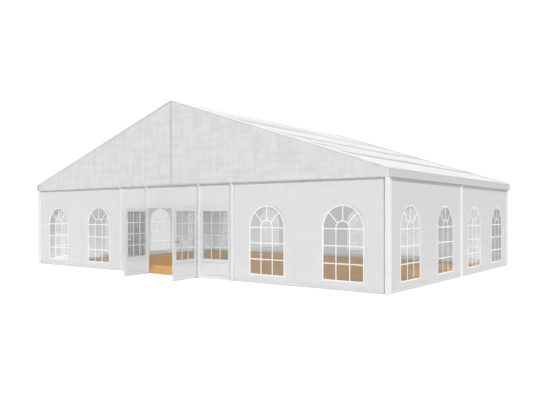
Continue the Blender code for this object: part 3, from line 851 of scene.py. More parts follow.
def arch_pane(centre):
    """Points and faces that fill an arch with rings around its middle."""
    arch = arch_loop(FILM_RADIUS, WINDOW_SILL - FILM_MARGIN)
    share = np.linspace(1, 0, PANE_RINGS + 1)[:-1, None, None]
    rings = (PANE_MIDDLE + share * (arch - PANE_MIDDLE)).reshape(-1, 2)
    last = range(len(rings) - len(arch), len(rings))
    faces = grid_faces(PANE_RINGS, len(arch), 0, 1).tolist()
    faces += [(a, b, len(rings)) for a, b in zip(last, (*last[1:], last[0]))]
    return np.append(rings, [PANE_MIDDLE], 0) + (centre, 0), faces


for bay, (side, low, high, middle) in BAYS.items():
    panes = [arch_pane(centre) for centre in (middle - WINDOW_OFFSET, middle + WINDOW_OFFSET)]
    flat, faces = joined(panes)
    u, z = flat.T
    push = wall_push(side, u, z) + soft_noise(u, z * 0.3, (0.7, 0.45, 0.3), 0.0008, 77)
    mesh = weld(mesh_of(bay + "_film", on_wall(side, u, FILM_OUT + push, z), faces))
    piece = make_piece(bay + "_film", mesh, window_film, thickness=FILM)
    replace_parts(piece, bay + "_window_film")

# %% [markdown]
# ## Window bars with Geometry Nodes
# White strips are welded over the film in the pattern of a sash window: a rim round the arch, two
# uprights, three rails, a small half round and three rays. One tree draws that pattern flat from
# named sizes, gives it its width and thickness with a small rectangle as the profile, stands it
# up, and copies it to a point for every window. Its straight lines are cut short, so that the
# plain mesh that is kept can follow the waves of the wall.

# %% Helpers for trees
def new_tree(name, sockets):
    """A geometry tree with named inputs. sockets maps each name to its kind and default."""
    tree = bpy.data.node_groups.new(name, "GeometryNodeTree")
    tree.interface.new_socket("Geometry", in_out="OUTPUT", socket_type="NodeSocketGeometry")
    tree.interface.new_socket("Geometry", in_out="INPUT", socket_type="NodeSocketGeometry")
    for label, (kind, default) in sockets.items():
        socket = tree.interface.new_socket(label, in_out="INPUT", socket_type="NodeSocket" + kind)
        if default is not None:
            socket.default_value = default
    return tree, add_node(tree, "NodeGroupInput").outputs


def flat_section(tree, path, width, height):
    """Give curves that lie flat a rectangular section and closed ends."""
    level = add_node(tree, "GeometryNodeSetCurveNormal", {0: path}, mode="Z_UP")
    sides = {"Width": width, "Height": height}
    section = add_node(tree, "GeometryNodeCurvePrimitiveQuadrilateral", sides, mode="RECTANGLE")
    swept = {"Curve": level, "Profile Curve": section, "Fill Caps": True}
    return add_node(tree, "GeometryNodeCurveToMesh", swept)


def finish_tree(tree, shape, material):
    """End a tree in Realize Instances and Set Material."""
    real = add_node(tree, "GeometryNodeRealizeInstances", {0: shape})
    painted = add_node(tree, "GeometryNodeSetMaterial", {"Geometry": real, "Material": material})
    add_node(tree, "NodeGroupOutput", {0: painted})
    print(tree.name, "tree has", len(tree.nodes), "nodes")


STAND_UP = (math.pi / 2, 0.0, 0.0)
print("a flat drawing stands up after a turn of", round(math.degrees(STAND_UP[0])), "degrees")

# %% Running a tree
def baked(holder, name):
    """The finished shape of an object as a plain mesh. Its modifiers and the object are removed."""
    bpy.context.scene.collection.objects.link(holder)
    shown = holder.evaluated_get(bpy.context.evaluated_depsgraph_get())
    mesh = bpy.data.meshes.new_from_object(shown)
    mesh.name = name
    holder.modifiers.clear()
    bpy.data.objects.remove(holder)
    return mesh


def run_tree(tree, carrier_mesh, values, name):
    """Evaluate a tree on a carrier that is thrown away, and keep the result as a mesh."""
    carrier = bpy.data.objects.new(name + "_carrier", carrier_mesh)
    step = carrier.modifiers.new("tree", "NODES")
    step.node_group = tree
    for item in tree.interface.items_tree:
        if item.in_out == "INPUT" and item.name in values:
            step[item.identifier] = values[item.name]
    return baked(carrier, name)


# %% The window bar tree
BAR_CUT = 0.07
ARC_POINTS = 33
RIM_SHARE = 1.4
UPRIGHTS = (1 / 3, -1 / 3)
UPRIGHT_PAST_SPRING = 1 / 15
bar_tree, size = new_tree("window_bars", {
    "Radius": ("Float", 0.6),
    "Sill": ("Float", 0.24),
    "Spring": ("Float", 1.57),
    "Small Radius": ("Float", 0.205),
    "Low Rail": ("Float", 0.675),
    "High Rail": ("Float", 1.13),
    "Bar Width": ("Float", 0.029),
    "Rim Width": ("Float", 0.033),
    "Thickness": ("Float", 0.003),
    "Material": ("Material", None),
})
RAILS = ("Low Rail", "High Rail", "Spring")
levels = {name: add_node(bar_tree, "ShaderNodeCombineXYZ", {"Y": size[name]}) for name in ("Sill", *RAILS)}


def bar_end(across, up, radius, level):
    """An end of a bar: shares of a named radius, counted from the middle of a named level."""
    place = {0: (across, up, 0.0), 1: size[radius], 2: levels[level]}
    return add_node(bar_tree, "ShaderNodeVectorMath", place, operation="MULTIPLY_ADD")


def draw(lines, arc_radius, width, thickness):
    """Join lines and a half round over the spring line, and give them a flat section."""
    straight = []
    for start, end in lines:
        ends = {"Start": bar_end(*start), "End": bar_end(*end)}
        straight.append(add_node(bar_tree, "GeometryNodeCurvePrimitiveLine", ends))
    pieces = {"Curve": add_node(bar_tree, "GeometryNodeJoinGeometry", {0: straight}), "Length": BAR_CUT}
    cut = add_node(bar_tree, "GeometryNodeResampleCurve", pieces, mode="LENGTH")
    turn = {"Resolution": ARC_POINTS, "Radius": arc_radius, "Start Angle": 0.0, "Sweep Angle": math.pi}
    arc = add_node(bar_tree, "GeometryNodeCurveArc", turn, mode="RADIUS")
    raised = add_node(bar_tree, "GeometryNodeTransform", {0: arc, "Translation": levels["Spring"]})
    drawing = add_node(bar_tree, "GeometryNodeJoinGeometry", {0: [cut, raised]})
    return flat_section(bar_tree, drawing, width, thickness)


lines = []
for share in UPRIGHTS:
    lines.append(((share, 0.0, "Radius", "Sill"), (share, UPRIGHT_PAST_SPRING, "Radius", "Spring")))
lines += [((-1.0, 0.0, "Radius", rail), (1.0, 0.0, "Radius", rail)) for rail in RAILS]
for angle in (math.pi / 4, math.pi / 2, 3 * math.pi / 4):
    ray = (math.cos(angle), math.sin(angle))
    lines.append(((*ray, "Small Radius", "Spring"), (*ray, "Radius", "Spring")))
rim_lines = [((-1.0, 0.0, "Radius", "Sill"), (1.0, 0.0, "Radius", "Sill"))]
rim_lines += [((edge, 0.0, "Radius", "Sill"), (edge, 0.0, "Radius", "Spring")) for edge in (-1.0, 1.0)]

bars = draw(lines, size["Small Radius"], size["Bar Width"], size["Thickness"])
thicker = add_node(bar_tree, "ShaderNodeMath", {0: size["Thickness"], 1: RIM_SHARE}, operation="MULTIPLY")
rim = draw(rim_lines, size["Radius"], size["Rim Width"], thicker)
both = add_node(bar_tree, "GeometryNodeJoinGeometry", {0: [bars, rim]})
standing = add_node(bar_tree, "GeometryNodeTransform", {0: both, "Rotation": STAND_UP})
facing = add_node(bar_tree, "GeometryNodeInputNamedAttribute", {"Name": "facing"}, data_type="FLOAT")
spin = add_node(bar_tree, "ShaderNodeCombineXYZ", {"Z": facing})
turned = add_node(bar_tree, "FunctionNodeEulerToRotation", {0: spin})
copies = {"Points": size["Geometry"], "Instance": standing, "Rotation": turned}
finish_tree(bar_tree, add_node(bar_tree, "GeometryNodeInstanceOnPoints", copies), size["Material"])

# %% Place the window bars
BAR_OUT = -0.0028
PAINTED_INNER_GLOW = 0.32
NEAR_WALL = 0.05
places, turns = [], []
for side, low, high, middle in BAYS.values():
    for centre in (middle - WINDOW_OFFSET, middle + WINDOW_OFFSET):
        places.append(on_wall(side, np.array(centre), BAR_OUT, 0.0))
        turns.append(TURNS[side])
carrier = mesh_of("window_places", places, [])
store(carrier, "facing", "POINT", turns)
bar_mesh = run_tree(bar_tree, carrier, {
    "Radius": WINDOW_RADIUS, "Sill": WINDOW_SILL, "Spring": WINDOW_SPRING,
    "Small Radius": 0.205, "Low Rail": 0.675, "High Rail": 1.13,
    "Bar Width": 0.029, "Rim Width": 0.033, "Thickness": 0.003, "Material": strip,
}, "window_bars")

points = np.array([v.co for v in bar_mesh.vertices])
moved = points.copy()
for side, turn in TURNS.items():
    across = math.cos(turn) * points[:, 0] + math.sin(turn) * points[:, 1]
    away = math.sin(turn) * points[:, 0] - math.cos(turn) * points[:, 1]
    here = away > DEPTHS[side] - NEAR_WALL
    push = wall_push(side, across[here], points[here, 2])
    moved[here, 0] += math.sin(turn) * push
    moved[here, 1] -= math.cos(turn) * push
bar_mesh.vertices.foreach_set("co", moved.ravel())
make_piece("window_bars", bar_mesh, strip, smooth=False)

# Faces that look into the tent get the painted glow.
glow = []
for face in bar_mesh.polygons:
    x, y, _ = face.center
    side = "front" if y < 0.0 else "rear"
    if abs(x) > HALF_SPAN - NEAR_WALL:
        side = "right" if x > 0.0 else "left"
    outwards = Vector((math.sin(TURNS[side]), -math.cos(TURNS[side]), 0.0))
    glow.append(PAINTED_INNER_GLOW if face.normal.dot(outwards) < -0.9 else 0.0)
store(bar_mesh, "glow", "FACE", glow)
print("faces that glow", sum(value > 0 for value in glow))

# %% [markdown]
# ## Beads and hems
# Both upright edges of every wall sheet end in a round bead that slides in a track on the leg,
# and the foot of the sheet has a welded hem. The beads follow straight lines, so a tree turns the
# edges of a carrier mesh into tubes; the hems are narrow strips that follow the wall.

# %% Beads and hems
BEAD = 0.006
BEAD_OUT = -0.004
BEAD_FOOT = 0.012
BEAD_HEADS = {"front": 2.835, "rear": 2.835, "right": 2.80, "left": 2.80}
HEM_OUT = WALL_OUT + 0.0018
HEM_INSET = 0.014
HEM_HEIGHTS = (0.008, 0.03, 0.055, 0.078)
bead_tree, size = new_tree("edge_beads", {"Radius": ("Float", 0.006), "Material": ("Material", None)})
path = add_node(bead_tree, "GeometryNodeMeshToCurve", {0: size["Geometry"]})
circle = {"Resolution": 10, "Radius": size["Radius"]}
section = add_node(bead_tree, "GeometryNodeCurvePrimitiveCircle", circle)
tube = {"Curve": path, "Profile Curve": section, "Fill Caps": True}
finish_tree(bead_tree, add_node(bead_tree, "GeometryNodeCurveToMesh", tube), size["Material"])

ends, hem_parts = [], []
for side, low, high, middle in BAYS.values():
    for u in (low + BEAD, high - BEAD):
        ends += [on_wall(side, np.array(u), BEAD_OUT, z) for z in (BEAD_FOOT, BEAD_HEADS[side])]
    u, z = np.meshgrid(np.linspace(low + HEM_INSET, high - HEM_INSET, 61), HEM_HEIGHTS)
    grid = on_wall(side, u, HEM_OUT + wall_push(side, u, z), z)
    hem_parts.append((grid.reshape(-1, 3), grid_faces(*u.shape)))
carrier = bpy.data.meshes.new("bead_lines")
carrier.from_pydata([tuple(p) for p in ends], [(k, k + 1) for k in range(0, len(ends), 2)], [])
bead_mesh = run_tree(bead_tree, carrier, {"Radius": BEAD, "Material": wall_cloth}, "wall_beads")
make_piece("wall_beads", bead_mesh, wall_cloth)
make_piece("wall_hems", mesh_of("wall_hems", *joined(hem_parts)), wall_cloth, thickness=CLOTH)

# %% [markdown]
# ## Shapes drawn in places of their own
# Small parts are easier to draw in places of their own and are then joined and put where they
# belong. One function does that for all of them, and one makes a plate with rounded edges.

# %% Join and place
def gather(name, meshes, matrix, material, body="tent", smooth=True):
    """Join meshes drawn in places of their own, put them on a body and finish them."""
    work = bmesh.new()
    for mesh in meshes:
        work.from_mesh(mesh)
        bpy.data.meshes.remove(mesh)
    work.transform(matrix)
    bmesh.ops.recalc_face_normals(work, faces=work.faces)
    whole = bpy.data.meshes.new(name)
    work.to_mesh(whole)
    work.free()
    return make_piece(name, whole, material, body, smooth=smooth)


def rounded_plate(low, high, bevel):
    """A plate with rounded edges and corners."""
    work = bmesh.new()
    bmesh.ops.create_cube(work, size=1.0)
    bmesh.ops.scale(work, vec=Vector(high) - Vector(low), verts=work.verts)
    bmesh.ops.translate(work, vec=(Vector(high) + Vector(low)) / 2, verts=work.verts)
    bmesh.ops.bevel(work, geom=work.edges[:], offset=bevel, segments=3, profile=0.5, affect="EDGES")
    mesh = bpy.data.meshes.new("plate")
    work.to_mesh(mesh)
    work.free()
    return mesh


print("helpers for small parts made")

# %% [markdown]
# ## Zip in the gable
# A coarse zip closes the gable in the middle: a grey tape with two rows of teeth that mesh. The
# tree lays one row of points per side, half a pitch apart, and copies a small block to each.

# %% Zip tree
TOOTH = (0.008, 0.003, 0.005)
TOOTH_ASIDE = 0.003
zip_tree, size = new_tree("zip_teeth", {
    "Pitch": ("Float", 0.012),
    "Count": ("Int", 100),
    "Material": ("Material", None),
})
half_pitch = add_node(zip_tree, "ShaderNodeMath", {0: size["Pitch"], 1: 0.5}, operation="MULTIPLY")
step = add_node(zip_tree, "ShaderNodeCombineXYZ", {"Z": size["Pitch"]})
tooth = add_node(zip_tree, "GeometryNodeMeshCube", {"Size": TOOTH})
teeth = []
for across, lift in ((-TOOTH_ASIDE, 0.0), (TOOTH_ASIDE, half_pitch)):
    first = add_node(zip_tree, "ShaderNodeCombineXYZ", {"X": across, "Z": lift})
    row = {"Count": size["Count"], "Start Location": first, "Offset": step}
    spots = add_node(zip_tree, "GeometryNodeMeshLine", row)
    teeth.append(add_node(zip_tree, "GeometryNodeInstanceOnPoints", {"Points": spots, "Instance": tooth}))
finish_tree(zip_tree, add_node(zip_tree, "GeometryNodeJoinGeometry", {0: teeth}), size["Material"])

# %% Zip
ZIP_MIDDLE = -0.006
ZIP_HALF = 0.017
ZIP_PITCH = 0.012
ZIP_END = 0.004
ZIP_HEAD = 0.01
ZIP_HEAD_HALF = 0.02
TAPE_EDGE = 0.002
TAPE_RISE = np.array([0.0012, 0.0020, 0.0020, 0.0012])
TAPE = 0.001
TEETH_RISE = 0.0035
for end, (sign, seed) in GABLES.items():
    bottom = GABLE_BOTTOM + ZIP_END
    top = float(gable_top(ZIP_HEAD_HALF)) - ZIP_HEAD
    tape_across = np.array([-ZIP_HALF, TAPE_EDGE - ZIP_HALF, ZIP_HALF - TAPE_EDGE, ZIP_HALF]) + ZIP_MIDDLE
    x, z = np.meshgrid(-sign * tape_across, np.linspace(bottom, top, 31))
    tape = sheet_mesh("tape", x, sign * (GABLE_FACE + gable_push(x, z, seed) + TAPE_RISE), z)
    work = bmesh.new()
    work.from_mesh(tape)
    bmesh.ops.solidify(work, geom=work.faces[:], thickness=TAPE)
    work.to_mesh(tape)
    work.free()
    sizes = {"Pitch": ZIP_PITCH, "Count": int((top - bottom) / ZIP_PITCH), "Material": zip_nylon}
    teeth = run_tree(zip_tree, bpy.data.meshes.new("zip"), sizes, "teeth")
    places = np.array([v.co for v in teeth.vertices]) + (-sign * ZIP_MIDDLE, 0.0, bottom + ZIP_END)
    places[:, 1] += sign * (GABLE_FACE + TEETH_RISE + gable_push(places[:, 0], places[:, 2], seed))
    teeth.vertices.foreach_set("co", places.ravel())
    gather(f"gable_zip_{end}", [tape, teeth], Matrix(), zip_nylon, smooth=False)

# %% [markdown]
# ## Glazing bars of the door
# The leaves and the side lights hold glass with bars stuck over both faces: three panes across
# and four up. The tree lays out the bars from the size of the glass and the number of panes, as
# lines copied along a row of points.

# %% Pane tree
pane_tree, size = new_tree("pane_bars", {
    "Width": ("Float", 1.0),
    "Height": ("Float", 1.4),
    "Columns": ("Int", 3),
    "Rows": ("Int", 4),
    "Bar Width": ("Float", 0.022),
    "Depth": ("Float", 0.03),
    "Material": ("Material", None),
})
bars = []
for count, spread, length, across, along, share in (
    ("Columns", "Width", "Height", "X", "Y", 1.0),
    ("Rows", "Height", "Width", "Y", "X", 0.94),
):
    step = add_node(pane_tree, "ShaderNodeMath", {0: size[spread], 1: size[count]}, operation="DIVIDE")
    move = add_node(pane_tree, "ShaderNodeCombineXYZ", {across: step})
    number = add_node(pane_tree, "ShaderNodeMath", {0: size[count], 1: 1.0}, operation="SUBTRACT")
    row = {"Count": number, "Start Location": move, "Offset": move}
    spots = add_node(pane_tree, "GeometryNodeMeshLine", row)
    end = add_node(pane_tree, "ShaderNodeCombineXYZ", {along: size[length]})
    line = add_node(pane_tree, "GeometryNodeCurvePrimitiveLine", {"Start": (0.0, 0.0, 0.0), "End": end})
    copies = add_node(pane_tree, "GeometryNodeInstanceOnPoints", {"Points": spots, "Instance": line})
    real = add_node(pane_tree, "GeometryNodeRealizeInstances", {0: copies})
    depth = add_node(pane_tree, "ShaderNodeMath", {0: size["Depth"], 1: share}, operation="MULTIPLY")
    bars.append(flat_section(pane_tree, real, size["Bar Width"], depth))
both = add_node(pane_tree, "GeometryNodeJoinGeometry", {0: bars})
standing = add_node(pane_tree, "GeometryNodeTransform", {0: both, "Rotation": STAND_UP})
finish_tree(pane_tree, standing, size["Material"])

# %% [markdown]
# ## Door joinery
# A leaf is drawn closed, with u across it from the hinge, out towards the street and z up, and
# then put in place with the matrix of its open position. Bars, beads round the glass and mouldings
# round the lower panel are small frames with mitred corners, so one function sweeps any profile
# round a rectangle.

# %% Places on the door
LEAF_THICKNESS = 0.04
HINGE_SIDE = 0.005
HINGE_OUT = 0.012
MEETING_GAP = 0.009
LEAF_END = DOOR_HALF - HINGE_SIDE - MEETING_GAP / 2
OPEN = {"left": 80.0, "right": 98.0}
# Each face of a leaf is given by its place and by the way it looks, out or in.
LEAF_FACES = ((-HINGE_OUT, 1.0), (-HINGE_OUT - LEAF_THICKNESS, -1.0))


def leaf_matrix(side):
    """From (u across, out, z) of a closed leaf to its open place in the world."""
    sign = -1 if side == "left" else 1
    hinge = Vector((sign * (DOOR_HALF - HINGE_SIDE), -POST_FRONT - HINGE_OUT, 0.0))
    turn = Matrix.Rotation(math.radians(sign * OPEN[side]), 4, "Z")
    flip = Matrix.Diagonal((-sign, -1.0, 1.0, 1.0))
    return Matrix.Translation(hinge) @ turn @ flip


def light_matrix(side):
    """The same for a side light, whose u starts at the middle of the door."""
    sign = -1 if side == "left" else 1
    return Matrix.Translation((0.0, -POST_FRONT, 0.0)) @ Matrix.Diagonal((sign, -1.0, 1.0, 1.0))


print("a leaf is", round(LEAF_END, 3), "m wide")

# %% Door frames and bars
GLASS_BOTTOM = 0.597
GLASS_TOP = 2.03
PANEL_BOTTOM = 0.13
PANEL_TOP = 0.49
LEAF_STILE = 0.12
SIDE_STILE_INNER = 0.113
SIDE_STILE_OUTER = 0.088
LIGHT_FACES = ((0.0, 1.0), (-POST_DEPTH, -1.0))
LEAF_BAR_DEPTH = 0.026
LIGHT_BAR_DEPTH = 0.030
# Profiles of (inset, out) points: the bead round the glass and the moulding round the panel.
BEAD_PROFILE = ((-0.016, 0.0), (-0.016, 0.006), (0.0, 0.009), (0.007, 0.004), (0.007, -0.012), (0.0, -0.012))
PANEL_PROFILE = ((-0.030, 0.0), (-0.030, 0.007), (-0.016, 0.012), (-0.004, 0.008), (0.0, 0.0))


def mitred_frame(low, high, profile):
    """Sweep a closed profile of (inset, out) points round a rectangle of (u, z) corners."""
    points = []
    for inset, out in profile:
        left, right = low[0] + inset, high[0] - inset
        bottom, top = low[1] + inset, high[1] - inset
        points += [(left, out, bottom), (right, out, bottom), (right, out, top), (left, out, top)]
    return points, grid_faces(len(profile), 4, 1, 1)


def door_trim(name, body, matrix, low_u, high_u, faces, bar_depth):
    """Bars, beads and mouldings of one leaf or side light, as one mesh on its body."""
    bars = run_tree(pane_tree, bpy.data.meshes.new("pane"), {
        "Width": high_u - low_u, "Height": GLASS_TOP - GLASS_BOTTOM, "Columns": 3, "Rows": 4,
        "Bar Width": 0.022, "Depth": bar_depth, "Material": door_coat,
    }, name + "_bars")
    middle = (faces[0][0] + faces[1][0]) / 2
    bars.transform(Matrix.Translation((low_u, middle, GLASS_BOTTOM)))
    parts = []
    for face, way in faces:
        for low_z, high_z, profile in (
            (GLASS_BOTTOM, GLASS_TOP, BEAD_PROFILE),
            (PANEL_BOTTOM, PANEL_TOP, PANEL_PROFILE),
        ):
            placed = [(inset, face + way * out) for inset, out in profile]
            parts.append(mitred_frame((low_u, low_z), (high_u, high_z), placed))
    gather(name, [bars, mesh_of("joinery", *joined(parts))], matrix, door_coat, body, False)


for side in ("left", "right"):
    low, high = HINGE_SIDE + LEAF_STILE, LEAF_END - LEAF_STILE
    door_trim(f"leaf_trim_{side}", f"{side}_door", leaf_matrix(side), low, high, LEAF_FACES, LEAF_BAR_DEPTH)
    low, high = DOOR_HALF + POST_WIDTH + SIDE_STILE_INNER, POST_INSIDE - SIDE_STILE_OUTER
    door_trim(f"side_light_trim_{side}", "tent", light_matrix(side), low, high, LIGHT_FACES, LIGHT_BAR_DEPTH)

# %% [markdown]
# ## Handles
# Each leaf has a lever on both faces, on a long plate with a lock cylinder: a round bar that
# leaves the plate, bends and runs back towards the hinge, made as a curve with a round bevel.
# The right leaf opens first and its levers are dark grey. The left leaf has white ones, and flush
# bolts at its head and foot.

# %% Handles
HANDLE_HEIGHT = 1.14
SPINDLE = LEAF_END - LEAF_STILE / 2
LEVER_RADIUS = 0.0145
# The line of a lever: how far back from the spindle and out of the face each point lies.
LEVER = ((0.0, 0.004), (0.0, 0.034), (0.004, 0.043), (0.014, 0.047), (0.06, 0.047), (0.135, 0.047))
# Plates are given by half width, thickness, low end, high end and bevel.
LOCK_PLATE = (0.021, 0.008, HANDLE_HEIGHT - 0.17, HANDLE_HEIGHT + 0.05, 0.003)
LOCK_CYLINDER = (0.010, 0.013, HANDLE_HEIGHT - 0.118, HANDLE_HEIGHT - 0.082, 0.004)
LOW_BOLT = ((0.011, 0.003, 0.08, 0.30, 0.001), (0.005, 0.009, 0.20, 0.23, 0.002))
HIGH_BOLT = (
    (0.011, 0.003, LEAF_TOP - 0.30, LEAF_TOP - 0.08, 0.001),
    (0.005, 0.009, LEAF_TOP - 0.24, LEAF_TOP - 0.21, 0.002),
)


def lever_mesh(face, way):
    """A bent round bar from the plate out and along, in the leaf's own places."""
    curve = bpy.data.curves.new("lever", "CURVE")
    curve.dimensions = "3D"
    curve.bevel_depth = LEVER_RADIUS
    curve.bevel_resolution = 3
    curve.use_fill_caps = True
    line = curve.splines.new("POLY")
    line.points.add(len(LEVER) - 1)
    for point, (back, out) in zip(line.points, LEVER):
        point.co = (SPINDLE - back, face + way * out, HANDLE_HEIGHT, 1.0)
    return baked(bpy.data.objects.new("lever", curve), "lever")


def face_plate(face, way, half, thickness, low_z, high_z, bevel):
    """A rounded plate on one face of a leaf, on the line of its spindle."""
    near, far = sorted((face, face + way * thickness))
    return rounded_plate((SPINDLE - half, near, low_z), (SPINDLE + half, far, high_z), bevel)


for side, finish in (("left", door_coat), ("right", handle_nylon)):
    levers = [lever_mesh(*face) for face in LEAF_FACES]
    gather(f"levers_{side}", levers, leaf_matrix(side), finish, f"{side}_door")
    plates = [face_plate(*face, *plate) for face in LEAF_FACES for plate in (LOCK_PLATE, LOCK_CYLINDER)]
    gather(f"handle_plates_{side}", plates, leaf_matrix(side), door_coat, f"{side}_door")
bolts = [face_plate(*LEAF_FACES[1], *plate) for plate in (*LOW_BOLT, *HIGH_BOLT)]
gather("flush_bolts_left", bolts, leaf_matrix("left"), door_coat, "left_door")

# %% [markdown]
# ## Door posts and hinges
# A cover profile is clipped on the front of each door post and gable post, and shows as a bright
# upright line from the ground to the gable. A bent plate on its head holds the hem of the gable
# cloth down. A grey strip lies to the left of three of the front posts, where the next panel ends,
# as painted shadow of the post. Between the hinges a thick hollow seal fills the gap beside the
# leaf. It lies round the hinge line, so it stays clear of the leaf however the door stands.

# %% Post covers and hinge seals
HINGE_HEIGHTS = (0.30, 1.10, 1.85)
KNUCKLE_LENGTH = 0.05
SEAL_FOOT = 0.012
SEAL_RADIUS = 0.0112
SEAL_GAP = 0.005
COVER_FOOT = 0.022
COVER_HEAD = GABLE_BOTTOM - 0.005
COVER_OUT = 0.018
DOOR_COVER_AT = DOOR_HALF + 0.045
# Each cover is given by its middle and half its width.
COVERS = ((DOOR_COVER_AT, 0.033), (POST_AT, 0.036))


def round_bar(low, high, radius):
    """An upright round bar on the line through (0, 0) of the leaf's places."""
    work = bmesh.new()
    bmesh.ops.create_cone(work, cap_ends=True, segments=16, radius1=radius, radius2=radius, depth=high - low)
    bmesh.ops.translate(work, vec=(0.0, 0.0, (low + high) / 2), verts=work.verts)
    mesh = bpy.data.meshes.new("seal")
    work.to_mesh(mesh)
    work.free()
    return mesh


for side in ("left", "right"):
    start = SEAL_FOOT
    seals = []
    for stop in (*[height - KNUCKLE_LENGTH for height in HINGE_HEIGHTS], LEAF_TOP + SEAL_GAP):
        seals.append(round_bar(start, stop - SEAL_GAP, SEAL_RADIUS))
        start = stop + 2 * KNUCKLE_LENGTH + SEAL_GAP
    gather(f"hinge_seals_{side}", seals, leaf_matrix(side), rubber_and_painted_shadow)
    covers = [
        rounded_plate((middle - half, GAP, COVER_FOOT), (middle + half, COVER_OUT, COVER_HEAD), 0.002)
        for middle, half in COVERS
    ]
    gather(f"post_covers_{side}", covers, light_matrix(side), cover_coat, "tent", False)

# %% Post heads and painted post shadows
HEAD_WIDTH = 0.052
# The bent plate from the side, as (out, z) points: a foot, a step past the cloth, and a tongue.
HEAD = (
    (COVER_OUT + GAP, 2.780), (0.045, 2.780), (0.045, 2.945),
    (0.040, 2.945), (0.040, 2.838), (COVER_OUT + GAP, 2.838),
)
SHADOW_STRIP_WIDTH = 0.030
SHADOW_STRIP_OUT = 0.004
# Each painted shadow strip is given by its right edge and its foot.
SHADOW_STRIPS = (
    (-DOOR_HALF - POST_WIDTH - 0.0005, COVER_FOOT),
    (DOOR_HALF - 0.0005, LEAF_TOP + 0.03),
    (POST_INSIDE, COVER_FOOT),
)
heads = []
for centre in (-POST_AT, -DOOR_COVER_AT, DOOR_COVER_AT, POST_AT):
    sides = (centre - HEAD_WIDTH / 2, centre + HEAD_WIDTH / 2)
    head = tube_mesh("head", [[(u, out, z) for out, z in HEAD] for u in sides])
    work = bmesh.new()
    work.from_mesh(head)
    bmesh.ops.bevel(work, geom=work.edges[:], offset=0.0015, segments=2, profile=0.5, affect="EDGES")
    work.to_mesh(head)
    work.free()
    heads.append(head)
gather("post_heads_front", heads, light_matrix("right"), cover_coat, "tent", False)
# Painted shadow: grey strips to the left of three posts.
shadow_pieces = [
    rounded_plate((edge - SHADOW_STRIP_WIDTH, GAP, foot), (edge, SHADOW_STRIP_OUT, COVER_HEAD), 0.001)
    for edge, foot in SHADOW_STRIPS
]
gather("post_gaskets_front", shadow_pieces, light_matrix("right"), rubber_and_painted_shadow)

# %% [markdown]
# ## Floor boards
# The floor is rows of boards, laid along the gable with staggered ends. A point marks the middle
# of each board and stores its length and its tone; a tree copies one chamfered board to every
# point, stretched to its length. The tone goes along and the wood material reads it.
# Sunlit boards would tint the white cloth inside, which the photograph doesn't show, so the light
# that other surfaces gather doesn't see them. One more board closes the doorway between the posts,
# with a small white plate at each end.

# %% Board tree
FLOOR_TOP = 0.02
CHAMFER = 0.002
board_tree, size = new_tree("floor_boards", {"Board": ("Object", None), "Material": ("Material", None)})
board = add_node(board_tree, "GeometryNodeObjectInfo", {"Object": size["Board"]}).outputs["Geometry"]
length = add_node(board_tree, "GeometryNodeInputNamedAttribute", {"Name": "board_length"}, data_type="FLOAT")
stretch = add_node(board_tree, "ShaderNodeCombineXYZ", {"X": length, "Y": 1.0, "Z": 1.0})
copies = {"Points": size["Geometry"], "Instance": board, "Scale": stretch}
finish_tree(board_tree, add_node(board_tree, "GeometryNodeInstanceOnPoints", copies), size["Material"])


def board_mesh(width):
    """A one metre length of board with chamfered upper edges."""
    half = width / 2
    outline = [(-half, 0.0), (half, 0.0), (half, FLOOR_TOP - CHAMFER), (half - CHAMFER, FLOOR_TOP)]
    outline += [(CHAMFER - half, FLOOR_TOP), (-half, FLOOR_TOP - CHAMFER)]
    return tube_mesh("board", [[(x, y, z) for y, z in outline] for x in (-0.5, 0.5)])


# %% Floor boards
FLOOR_SIDE = CORNER_FRONT
FLOOR_END = POST_FRONT - POST_DEPTH - GAP
ROWS = 68
ROW = 2 * FLOOR_END / ROWS
BOARD_LENGTH = 2.4
SHORTEST_FIRST = 0.6
SHORTEST_LAST = 0.4
BOARD_GAP = 0.003
SILL_SIDE = DOOR_HALF - 0.06
SILL_PROUD = 0.0015


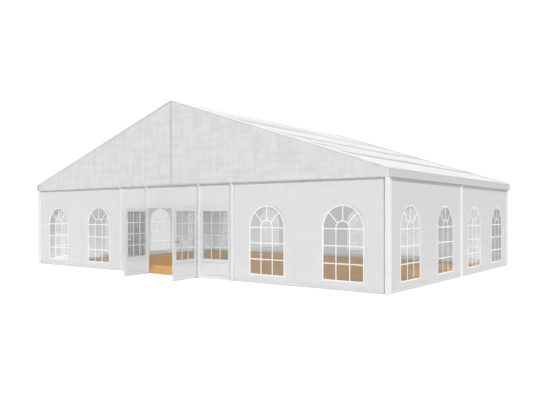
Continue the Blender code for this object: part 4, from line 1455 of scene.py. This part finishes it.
def lay_boards(name, rows, side_end, width, seed):
    """Boards in rows at the given places across the floor, as one mesh."""
    dice = np.random.default_rng(seed)
    middles, lengths, tones = [], [], []
    for y in rows:
        cuts = [-side_end]
        reach = dice.uniform(SHORTEST_FIRST, BOARD_LENGTH)
        while -side_end + reach < side_end - SHORTEST_LAST:
            cuts.append(-side_end + reach)
            reach += BOARD_LENGTH
        cuts.append(side_end)
        for start, end in zip(cuts, cuts[1:]):
            middles.append(((start + end) / 2, y, 0.0))
            lengths.append(end - start - BOARD_GAP)
            tones.append(dice.uniform(0, 1))
    carrier = mesh_of(name + "_places", middles, [])
    store(carrier, "board_length", "POINT", lengths)
    store(carrier, "tone", "POINT", tones)
    pattern = bpy.data.objects.new("board", board_mesh(width))
    bpy.context.scene.collection.objects.link(pattern)
    mesh = run_tree(board_tree, carrier, {"Board": pattern, "Material": oiled_pine}, name)
    bpy.data.objects.remove(pattern)
    piece = make_piece(name, mesh, oiled_pine, smooth=False)
    piece.visible_diffuse = False
    print(name, len(middles), "boards")
    return piece


rows = [-FLOOR_END + ROW * (k + 0.5) for k in range(ROWS)]
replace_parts(lay_boards("floor_boards", rows, FLOOR_SIDE, ROW - BOARD_GAP, 5), "wooden_floor")
sill_depth = POST_FRONT - FLOOR_END
lay_boards("threshold_board", [-(FLOOR_END + POST_FRONT) / 2], SILL_SIDE, sill_depth - 0.001, 6)
for side in ("left", "right"):
    low = (SILL_SIDE + 0.001, 0.001 - sill_depth, 0.0005)
    sill_end = rounded_plate(low, (DOOR_HALF - 0.001, -0.0005, FLOOR_TOP + SILL_PROUD), 0.002)
    gather(f"sill_end_{side}", [sill_end], light_matrix(side), door_coat, "tent", False)

# %% [markdown]
# ## Finishes of the frame
# The rest of the frame is the CAD model itself. Each node gets the finish that its material slot
# in the record names, and the fascia and the door's surround have a coat of their own. A node's
# mesh is loose triangles, so a Weld modifier joins them before a Bevel rounds the edges, as an
# extrusion has.

# %% Finishes of the frame
FINISHES = {
    "white_frame": frame_coat,
    "bare_frame": bare_metal,
    "door_profile": door_coat,
    "door_glass": door_glass,
}
OWN_FINISHES = {"eave_fascia": fascia_coat, "over_door_panel": panel_coat, "side_light": panel_coat}
finished = 0
for row in frame["record"]["subparts"]:
    node = frame["nodes"][row["node"]]
    material = FINISHES.get(row["material_slot"])
    if node.hide_render or material is None:
        continue
    for start, own in OWN_FINISHES.items():
        if row["node"].startswith(start):
            material = own
    node.data.materials.clear()
    node.data.materials.append(material)
    if row["material_slot"] != "door_glass":
        join = node.modifiers.new("join", "WELD")
        join.merge_threshold = 0.0001
        rounding = node.modifiers.new("rounding", "BEVEL")
        rounding.width = 0.003
        rounding.segments = 2
        rounding.limit_method = "ANGLE"
    finished += 1
print("nodes finished", finished)

# %% Finish
low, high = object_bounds()
print("scene box", [round(v, 3) for v in (*low, *high)])
